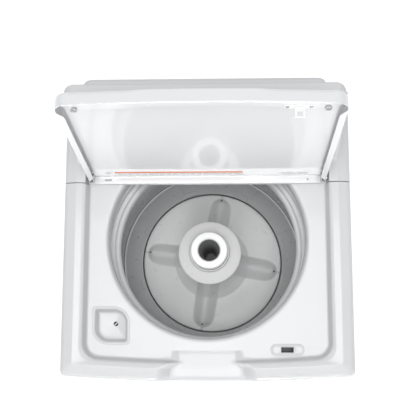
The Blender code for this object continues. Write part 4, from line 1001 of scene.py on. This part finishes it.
def agitator():
    """The bell with its post and four rounded vanes."""
    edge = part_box("agitator")[1].x
    bell = through([(0.2068, 0.3730), (0.200, 0.3744), (0.155, 0.3800), (0.112, 0.3890)], 22)
    cone = [bell[-1], (0.088, 0.4090), (0.070, 0.4350), (0.058, 0.470), (0.048, 0.540), (0.0437, 0.635)]
    bell += through(cone, 12)[1:]
    outside = [(edge, 0.3635), (edge, 0.3700), (edge - 0.0006, 0.3716), *bell, (0.0435, 0.6490)]
    outside.append((0.0430, 0.6505))
    under = [
        (0.0200, 0.6505), (0.0200, 0.4620), (0.0096, 0.4620), (0.0096, 0.4300), (0.032, 0.430),
        (0.046, 0.402), (0.090, 0.380), (0.195, 0.366), (edge - 0.001, 0.3622),
    ]
    centres = np.radians(81 - 90 * np.arange(4))
    crest_line = [0.03, 0.06, 0.11, 0.16, 0.185, 0.1985], [0.560, 0.492, 0.428, 0.406, 0.397, 0.377]

    def lift_vanes(index, radius, height, angles):
        heights = np.full(len(angles), height)
        if index < 3 or index >= len(outside):
            return np.full(len(angles), radius), heights
        for centre in centres:
            along, off = radius * np.cos(angles - centre), radius * np.sin(angles - centre)
            crest = np.interp(along, *crest_line)
            half = np.interp(along, [0.03, 0.06, 0.11, 0.16], [0.028, 0.033, 0.034, 0.033])
            half = half * np.sqrt(np.clip(1 - np.clip((along - 0.158) / 0.0415, 0, 1) ** 2, 1e-6, 1))
            out = np.abs(off) / np.maximum(half, 1e-5)
            ridge = np.clip(1 - out**2, 0, 1) ** 1.5
            lift = np.where(along > 0, np.maximum(crest - height, 0) * ridge, 0)
            heights = np.maximum(heights, height + lift)
        return np.full(len(angles), radius), heights

    lathe("agitator_bell", outside + under, AGITATOR_GREY, "agitator", ["agitator"], TUB_PLACE, segments=480,
          shape=lift_vanes, sharp=50)
    # A black dot at each vane's tip stands for a small hole there: painted shade.
    hole_shade = rounded(
        [(0.0, -0.001), (0.0026, -0.001), (0.0026, 0.0006), (0.0018, 0.0006), (0.0014, -0.0002),
         (0.0, -0.0002)],
        [0.0003] * 4, 3)
    reach, height = 0.1905, 0.3915
    for index, centre in enumerate(centres):
        place = TUB_PLACE @ at(reach * math.cos(centre), reach * math.sin(centre), height)
        lathe(f"vane_hole_shade_{index}", hole_shade, BLACK_PLASTIC, "agitator", place=place, segments=20, closed=False)


def bolt_cap():
    """The dust cap over the bolt at the bottom of the agitator's bore."""
    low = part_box("agitator_bolt")[0].z
    profile = [(0.0, 0.0), (0.0150, 0.0), (0.0160, 0.003), (0.0160, 0.008), (0.0140, 0.012), (0.0, 0.014)]
    lathe("agitator_bolt_cap", rounded(profile, [0.001, 0.001, 0.002, 0.003], 4), BLACK_PLASTIC, "agitator",
          ["agitator_bolt"], TUB_PLACE @ at(0, 0, low), segments=48, closed=False)


def softener():
    """The skirt disc round the post, the ring that lifts out of it and the ring's bore."""
    skirt = [
        (0.0195, 0.6508), (0.044, 0.6508), (0.080, 0.6520), (0.0845, 0.6545), (0.0845, 0.6590),
        (0.080, 0.6625), (0.0535, 0.6800), (0.0525, 0.6940), (0.0500, 0.6940), (0.0500, 0.6600),
        (0.040, 0.6540), (0.0195, 0.6540),
    ]
    radii = [0.001, 0.004, 0.002, 0.003, 0.004, 0.006, 0.001, 0.001, 0.002, 0.002, 0.0008]
    lathe("softener_skirt", rounded([*skirt, skirt[0]], radii, 5)[:-1], WHITE_SATIN, "agitator",
          ["softener_dispenser"], TUB_PLACE, segments=96)
    ring = [
        (0.0240, 0.6550), (0.0400, 0.6550), (0.0495, 0.6603), (0.0495, 0.7270), (0.0465, 0.7312),
        (0.0320, 0.7320), (0.0285, 0.7290), (0.0270, 0.7150), (0.0220, 0.6600),
    ]
    radii = [0.0005, 0.002, 0.003, 0.004, 0.003, 0.004, 0.010, 0.001]
    lathe("softener_ring", rounded([*ring, ring[0]], radii, 6)[:-1], WHITE_SATIN, "funnel",
          ["softener_funnel"], TUB_PLACE, segments=96)
    # The bore is grey for the shade inside it: painted shade.
    taper = [(0.0281, 0.7285), (0.0264, 0.7150), (0.0222, 0.6820), (0.0190, 0.6480), (0.0184, 0.6000)]
    bore = through(taper, 6)
    bore += [(0.0184, 0.4940), (0.0150, 0.4900), (0.0, 0.4900), (0.0, 0.4885), (0.0160, 0.4885)]
    bore += [(0.0192, 0.4930), (0.0192, 0.6450), (0.0206, 0.6600), (0.0275, 0.7150)]
    lathe("softener_bore", bore, BORE_PAINTED_SHADE, "funnel", place=TUB_PLACE, segments=96, closed=False)


# ---------------------------------------------------------------- console
KNOBS = ("cycle_knob", "temperature_knob", "soil_knob", "load_knob")
KNOB = JOINTS["cycle_knob_turn"]
FACE_OUT = Vector(KNOB["axis"]).normalized()
if FACE_OUT.y > 0:
    FACE_OUT = -FACE_OUT
FACE_UP = Vector((1, 0, 0)).cross(FACE_OUT) * -1
FACE_MIDDLE = Vector((0, KNOB["pos_m"][1], KNOB["pos_m"][2]))
CONSOLE_LOW, CONSOLE_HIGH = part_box("console_fascia")
START_X = sum(corner.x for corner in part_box("start_button")) / 2


def on_face(x, up=0.0, out=0.0, turn=0.0):
    """A place on the console's face, with Z out of it and Y up it."""
    frame_axes = Matrix((Vector((1, 0, 0)), FACE_UP, FACE_OUT)).transposed().to_4x4()
    spot = FACE_MIDDLE + Vector((x, 0, 0)) + FACE_UP * up + FACE_OUT * out
    return at(*spot) @ frame_axes @ Matrix.Rotation(turn, 4, "Z")


def console_shell():
    """The console's bent front, crowned top and back, with its ends rounded off."""
    base, top, back = CONSOLE_LOW.z, CONSOLE_HIGH.z, CONSOLE_HIGH.y
    half, corner, edge, plan = CONSOLE_HIGH.x, 0.022, 0.010, 0.026
    section = rounded(
        [(CONSOLE_LOW.y, base), (0.262, 1.095), (0.272, 1.110), (0.288, top), (back, top), (back, base)],
        [0.014, 0.008, 0.010, 0.004], 6)
    near = [half - plan * (1 - math.sin(math.radians(a))) for a in np.linspace(0, 90, 15)]
    stations = [-x for x in reversed(near)] + list(np.linspace(-half + plan, half - plan, 25))[1:-1] + near
    rows = []
    for x in stations:
        depth = half - abs(x)
        drop = corner - math.sqrt(max(corner**2 - max(corner - depth, 0) ** 2, 0))
        inset = edge - math.sqrt(max(edge**2 - max(edge - depth, 0) ** 2, 0))
        trim = plan - math.sqrt(max(plan**2 - max(plan - depth, 0) ** 2, 0))
        row = []
        for y, z in section:
            front = 1 - float(smooth(y, 0.285, 0.300))
            rear = float(smooth(y, 0.283, back))
            row.append((x, y + inset * front * 0.9 - trim * rear, min(z, top - drop)))
        rows.append(row)
    points, faces = surface(rows)
    faces.append(list(range(len(section))))
    faces.append(list(range(len(points) - len(section), len(points))))
    # The cover's grey is partly painted shade from the open lid.
    piece("console_cover", points, faces, CONSOLE_GREY_AND_SHADE, "cabinet", ["console_fascia"], sharp=50,
          thickness=0.0022)


def console_panel():
    """The overlay on the console's face, its printed bars, ticks and lamps."""
    levels = [(0.0, -0.0006), (0.0, 0.0003), (0.0004, 0.0006)]
    plate("console_overlay", lambda e: rounded_rectangle(0.290 - e, 0.066 - e, 0.012 - e, 8), levels, OVERLAY,
          "cabinet", place=on_face(0))
    marks = []
    ring = 0.0365
    for name in KNOBS:
        radius, count = (ring, 20) if name == "cycle_knob" else (0.0215, 7)
        x = JOINTS[name + "_turn"]["pos_m"][0]
        span = 360 * (count - 1) / count if name == "cycle_knob" else 240
        for turn in np.radians(np.linspace(90 + span / 2, 90 - span / 2, count)):
            reach = radius + 0.0045
            place = on_face(x + reach * math.cos(turn), reach * math.sin(turn), 0.0006, turn)
            marks.append((place, 0.0022, 0.00045, 0.0002))
            reach = radius + 0.0115
            long = 0.0045 if name == "cycle_knob" else 0.0036
            place = on_face(x + (reach + 0.001) * math.cos(turn), reach * math.sin(turn), 0.0006)
            marks.append((place, long, 0.0008, 0.0002))
        marks.append((on_face(x, -radius - 0.018, 0.0006), 0.016, 0.0012, 0.0002))
    marks.append((on_face(START_X, -0.0165, 0.0006), 0.011, 0.0010, 0.0002))
    for row in range(5):
        marks.append((on_face(START_X + 0.0065, 0.022 + 0.0075 * row, 0.0006), 0.0085, 0.0008, 0.0002))
    bars("console_print", marks, PRINT_PALE, "cabinet")
    dome = [(0.0, 0.0016), (0.0009, 0.0014), (0.0016, 0.0009), (0.0019, 0.0004), (0.0019, 0.0)]
    for row in range(5):
        place = on_face(START_X - 0.0095, 0.022 + 0.0075 * row, 0.0003)
        lathe(f"console_lamp_{row}", dome, INDICATOR, "cabinet", place=place, segments=20, closed=False)
    bezel = rounded(
        [(ring, 0.0004), (0.0392, 0.0004), (0.0392, 0.0014), (0.0380, 0.0024), (0.0367, 0.0016),
         (ring, 0.0004)],
        [0.0003, 0.0005, 0.0006, 0.0004], 3)
    lathe("cycle_knob_trim", bezel[:-1], CHROME, "cabinet", place=on_face(KNOB["pos_m"][0]), segments=96)


def knobs():
    """Fluted caps with pointers, each on its own body."""
    for name in KNOBS:
        low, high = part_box(name)
        x = (low.x + high.x) / 2
        skirt = (high.x - low.x) / 2
        tall = 0.024 if name == "cycle_knob" else 0.020
        flutes = 18 if name == "cycle_knob" else 12
        grip = skirt * 0.74
        stem = 0.0032
        profile = rounded(
            [(0.0, -0.0118), (stem, -0.0118), (stem, 0.0009), (skirt, 0.0009), (skirt, 0.0034),
             (grip + 0.0022, 0.0062), (grip, 0.0085), (grip * 0.965, tall - 0.0018),
             (grip * 0.90, tall - 0.0002), (0.0, tall)],
            [0.0004, 0.0004, 0.0006, 0.0012, 0.0016, 0.0020, 0.0012, 0.0014], 4)

        def fluted(_index, radius, height, angles, grip=grip, tall=tall, flutes=flutes):
            share = float(smooth(height, 0.0078, 0.0100) * (1 - smooth(height, tall - 0.0030, tall - 0.0006)))
            share *= float(smooth(radius, grip * 0.8, grip * 0.9))
            wave = 0.5 - 0.5 * np.cos(angles * flutes)
            return radius - 0.0011 * share * wave, np.full(len(angles), height)

        lathe(name + "_cap", profile, WHITE_SATIN, name, [name], on_face(x), closed=False, shape=fluted,
              segments=flutes * 10, sharp=50)
        pointer = [(on_face(x, grip * 0.56, tall - 0.0002), 0.0011, grip * 0.30, 0.0006)]
        bars(name + "_pointer", pointer, PRINT_GREY, name)


def start_button():
    """The button and the trim round it."""
    levels = [(0.0, -0.0052), (0.0, 0.0022), (0.0006, 0.0038), (0.0018, 0.0044), (0.0050, 0.0041)]
    plate("start_button_cap", lambda e: rounded_rectangle(0.0170 - e, 0.0080 - e, 0.0079 - e, 8), levels,
          PALE_PLASTIC, "start_button", ["start_button"], on_face(START_X))
    ring = [(0.0, 0.0), (-0.0012, 0.0), (-0.0024, 0.0003), (-0.0024, 0.0012), (-0.0014, 0.0018)]
    ring += [(-0.0004, 0.0015), (-0.0003, 0.0)]
    rows = []
    for inset, height in ring:
        outline = rounded_rectangle(0.0173 - inset, 0.0083 - inset, 0.0082 - inset, 8)
        rows.append([(x, y, height) for x, y in outline])
    piece("start_button_trim", *surface(rows, True, True), CHROME, "cabinet", place=on_face(START_X))


def console_back():
    """The rear cover with its louvres and screws."""
    low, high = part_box("console_back")
    middle = at(0, low.y, (low.z + high.z) / 2) @ spun(-90, "X")
    half_z, deep = (high.z - low.z) / 2, high.y - low.y
    levels = [(0.0, 0.0), (0.0, 0.002), (0.0010, 0.0060), (0.0028, 0.0095), (0.0055, 0.0122)]
    levels += [(0.0090, 0.0139), (0.0130, deep), (0.018, deep)]
    levels += [(0.0195, deep - 0.0010), (0.021, deep - 0.0012)]

    def outline(inset):
        return rounded_rectangle(high.x - inset, half_z - inset, max(0.016 - inset * 0.4, 0.003), 6)

    # The same grey, partly painted shade.
    plate("console_rear_cover", outline, levels, CONSOLE_GREY_AND_SHADE, "cabinet", ["console_back"], middle)
    vents = []
    for side in (-1, 1):
        for row in range(6):
            place = middle @ at(side * 0.165, -0.030 + 0.012 * row, deep - 0.0012)
            vents.append((place, 0.045, 0.0026, 0.0018))
    bars("console_rear_louvres", vents, CONSOLE_GREY_AND_SHADE, "cabinet", soft=0.0014)
    places = []
    screw_y = half_z - 0.030
    for x in (-0.236, -0.08, 0.08, 0.236):
        places += [middle @ at(x, y, deep - 0.0002) for y in (-screw_y, screw_y)]
    screws("console_rear_screws", places, PLATED, "cabinet", 0.0040)


# ---------------------------------------------------------------- cabinet
TOE_Z = 0.108  # a crease across the cabinet's front, above the floor


def cabinet_line():
    """Down the left side, across the bowed front and up the right side, with the rear returns."""
    half, front, bow, rear, radius, fold = 0.3415, -0.3255, 0.010, 0.3372, 0.014, 0.0035
    flat = half - radius
    line = [(-0.322, rear), *arc((-half + fold, rear - fold), fold, 90, 180, 4)]
    line += [(-half, y) for y in np.linspace(rear - 0.012, front + radius + 0.006, 46)]
    line += arc((-flat, front + radius), radius, 180, 270, 8)
    line += [(t * flat, front - bow * (1 - t * t)) for t in np.linspace(-0.975, 0.975, 40)]
    line += arc((flat, front + radius), radius, -90, 0, 8)
    line += [(half, y) for y in np.linspace(front + radius + 0.006, rear - 0.012, 46)]
    line += [*arc((half - fold, rear - fold), fold, 0, 90, 4), (0.322, rear)]
    return line


def cabinet_shell():
    """The cabinet's sheet, with embossed sides, creases across the front and a hem."""
    low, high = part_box("cabinet_shell")[0].z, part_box("cabinet_shell")[1].z
    heights = [low, low + 0.0015, low + 0.010]
    for level in (TOE_Z, 0.855):
        heights += [level + step for step in (-0.006, -0.0022, -0.0010, 0.0, 0.0010, 0.0022, 0.006)]
    heights += [*np.linspace(0.130, 0.830, 44), *np.linspace(low + 0.018, 0.094, 5), high - 0.004, high]
    heights = np.array(sorted(heights))
    panel_y, panel_z, panel_depth = 0.005, 0.480, 0.0030
    rows = []
    for z in heights:
        row = []
        for x, y in cabinet_line():
            side = float(smooth(abs(x), 0.3405, 0.3414)) if y < 0.32 else 0.0
            corner = math.hypot(max(abs(y - panel_y) - 0.200, 0), max(abs(z - panel_z) - 0.245, 0))
            emboss = side * panel_depth * (1 - float(smooth(corner, 0.047, 0.058)))
            front = 1 - float(smooth(y, -0.3215, -0.3120))
            toe = front * 0.0012 * (1 - float(smooth(abs(z - TOE_Z), 0.0008, 0.0024)))
            lower = front * 0.0006 * (1 - float(smooth(z, 0.100, 0.112)))
            hem = 0.0006 * (1 - float(smooth(z, low, low + 0.004)))
            move = emboss + hem
            row.append((x - math.copysign(move, x) * (abs(x) > 0.33), y + toe + lower, z))
        rows.append(row)
    piece("cabinet_body", *surface(rows), ENAMEL, "cabinet", ["cabinet_shell"], sharp=50, thickness=0.0012)


def rear_fittings():
    """Beads and screws of the rear panel, and the coloured collars at the hose inlets."""
    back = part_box("rear_panel")[1].y
    low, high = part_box("rear_panel")[0].z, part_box("rear_panel")[1].z
    turn = spun(-90, "X")
    beads = []
    for x in np.linspace(-0.19, 0.19, 5):
        beads.append((at(x, back - 0.0003, 0.41) @ turn, 0.006, 0.230, 0.0011))
    beads.append((at(0, back - 0.0003, 0.085) @ turn, 0.270, 0.005, 0.0011))
    bars("rear_panel_beads", beads, ZINC, "cabinet", soft=0.0010)
    spots = [(side * 0.322, z) for side in (-1, 1) for z in (0.045, 0.20, 0.36, 0.52, 0.68, 0.84)]
    spots += [(x, z) for x in (-0.16, 0.0) for z in (low + 0.010, high - 0.010)]
    places = [at(x, back - 0.0004, z) @ turn for x, z in spots]
    screws("rear_panel_screws", places, PLATED, "cabinet", 0.0030)
    valve_low, valve_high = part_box("inlet_valve")
    middle = (valve_low.x + valve_high.x) / 2
    ring = [(0.0134, -0.0002), (0.0150, -0.0002), (0.0150, 0.0006), (0.0134, 0.0006)]
    ring = rounded(ring, [0.0001, 0.0003], 3)
    for name, side, finish in (("hot", -1, RED_RING), ("cold", 1, BLUE_RING)):
        place = at(middle + side * 0.022, back, 0.815) @ turn
        lathe("inlet_ring_" + name, ring, finish, "cabinet", place=place, segments=48)


def feet():
    """A rubber pad, a threaded stem and a locknut at each corner."""
    for foot in [name for name in frame["bodies"] if name.startswith("foot_")]:
        node = "leveling_" + foot
        low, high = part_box(node)
        place = at((low.x + high.x) / 2, (low.y + high.y) / 2, 0)
        pad = [(0.0, 0.0), (0.0195, 0.0), (0.022, 0.003), (0.022, 0.010), (0.0125, 0.0140), (0.0, 0.0140)]
        pad = rounded(pad, [0.001, 0.0014, 0.002, 0.002], 4)
        lathe(foot + "_pad", pad, RUBBER, foot, [node], place, segments=48, closed=False)
        thread = [(0.0, 0.0138), (0.0050, 0.0138)]
        for z in np.arange(0.0165, 0.0565, 0.00175):
            thread += [(0.0050, z), (0.0058, z + 0.0006), (0.0058, z + 0.0009)]
        thread += [(0.0048, 0.0575), (0.0, 0.0580)]
        lathe(foot + "_stem", thread, PLATED, foot, place=place, segments=28, closed=False)
        nut = [(0.0, 0.0), (0.0, 0.0045), (0.0004, 0.0049)]
        plate(foot + "_nut", hexagon, nut, PLATED, foot, place=place @ at(0, 0, 0.0165))


def suspension_springs():
    """The four coil springs that the tub's platform rests on."""
    wire, turns, steps, sides = 0.0021, 6, 24, 10
    up = Vector((0, 0, 1))
    for node in [name for name in frame["nodes"] if name.startswith("suspension_spring_")]:
        low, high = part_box(node)
        middle, coil = (low + high) / 2, (high.x - low.x) / 2 - wire
        rings = []
        for share in np.linspace(0, 1, turns * steps + 1):
            climb = float(smooth(share, -0.10, 0.20) * 0.5 + smooth(share, 0.80, 1.10) * 0.5 - 0.5)
            rise = share + 0.06 * climb * math.sin(math.tau * share)
            angle = math.tau * turns * share
            reach = Vector((math.cos(angle), math.sin(angle), 0))
            height = low.z + wire + (high.z - low.z - 2 * wire) * rise
            centre = Vector((middle.x, middle.y, height)) + reach * coil
            rings.append([centre + (reach * math.cos(a) + up * math.sin(a)) * wire for a in full_turn(sides)])
        points, faces = surface(rings, loop_columns=True)
        faces += [list(range(sides)), list(range(len(points) - sides, len(points)))]
        made = piece(node + "_coil", points, faces, PLATED, None, [node])
        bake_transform(made)


def hexagon(inset):
    """The locknut's outline."""
    return [((0.0088 - inset) * math.cos(a), (0.0088 - inset) * math.sin(a)) for a in full_turn(6)]


top_cover()
rear_deck()
bleach_cup()
lid_lock()
lid_shell()
lid_labels()
lid_slots()
lid_fittings()
outer_ring()
balance_ring()
basket_wall()
basket_floor()
agitator()
bolt_cap()
softener()
console_shell()
console_panel()
knobs()
start_button()
console_back()
cabinet_shell()
rear_fittings()
feet()
suspension_springs()
dress_frame()


# ---------------------------------------------------------------- floor, light and camera
def add_light(name, place, aim, size, power, fan=180):
    """A rectangular lamp. The fan is the angle it lights."""
    lamp = bpy.data.lights.new(name, "AREA")
    lamp.shape = "RECTANGLE"
    lamp.size, lamp.size_y = size
    lamp.energy = power
    lamp.spread = math.radians(fan)
    made = bpy.data.objects.new(name, lamp)
    made.location = place
    made.rotation_euler = (Vector(aim) - Vector(place)).to_track_quat("-Z", "Y").to_euler()
    bpy.context.scene.collection.objects.link(made)


def studio():
    """A pale floor, a white surround, a large lamp overhead and a low one for the lid."""
    points = [(-60, -60, 0), (60, -60, 0), (60, 60, 0), (-60, 60, 0)]
    mesh = bpy.data.meshes.new("studio_floor")
    mesh.from_pydata(points, [], [[0, 1, 2, 3]])
    floor = bpy.data.objects.new("studio_floor", mesh)
    floor.location.z = -0.0005
    bpy.context.scene.collection.objects.link(floor)
    pale = shaded("studio_floor", (0.97, 0.97, 0.97), 0.85, vary=0.01, grain=60)
    glow = pale.node_tree.nodes["Principled BSDF"]
    glow.inputs["Emission Color"].default_value = (1, 1, 1, 1)
    glow.inputs["Emission Strength"].default_value = 0.22
    mesh.materials.append(pale)
    world = bpy.data.worlds.new("studio")
    world.use_nodes = True
    world.node_tree.nodes["Background"].inputs["Color"].default_value = (0.985, 0.99, 1.0, 1)
    world.node_tree.nodes["Background"].inputs["Strength"].default_value = 0.50
    bpy.context.scene.world = world
    bpy.context.scene.view_settings.view_transform = "Standard"
    middle = (0, 0, 0.9)
    add_light("key_soft", (0.0, -0.75, 8.0), middle, (3.8, 3.8), 365)
    add_light("lid_soft", (0.1, -4.6, 1.35), (0, 0.15, 1.17), (3.0, 0.5), 4.4, 16)


def camera():
    """The photograph's view, from above and slightly to the front."""
    eye, aim = Vector((0.0559, -0.2260, 2.7352)), Vector((0.0026, 0.0676, 0.91))
    data = bpy.data.cameras.new("camera")
    data.sensor_width = 36
    data.lens = 66.66
    made = bpy.data.objects.new("camera", data)
    made.location = eye
    back = (eye - aim).normalized()
    right = Vector((0, 1, 0)).cross(back).normalized()
    up = back.cross(right)
    made.rotation_euler = Matrix((right, up, back)).transposed().to_euler()
    bpy.context.scene.collection.objects.link(made)
    bpy.context.scene.camera = made


studio()
camera()
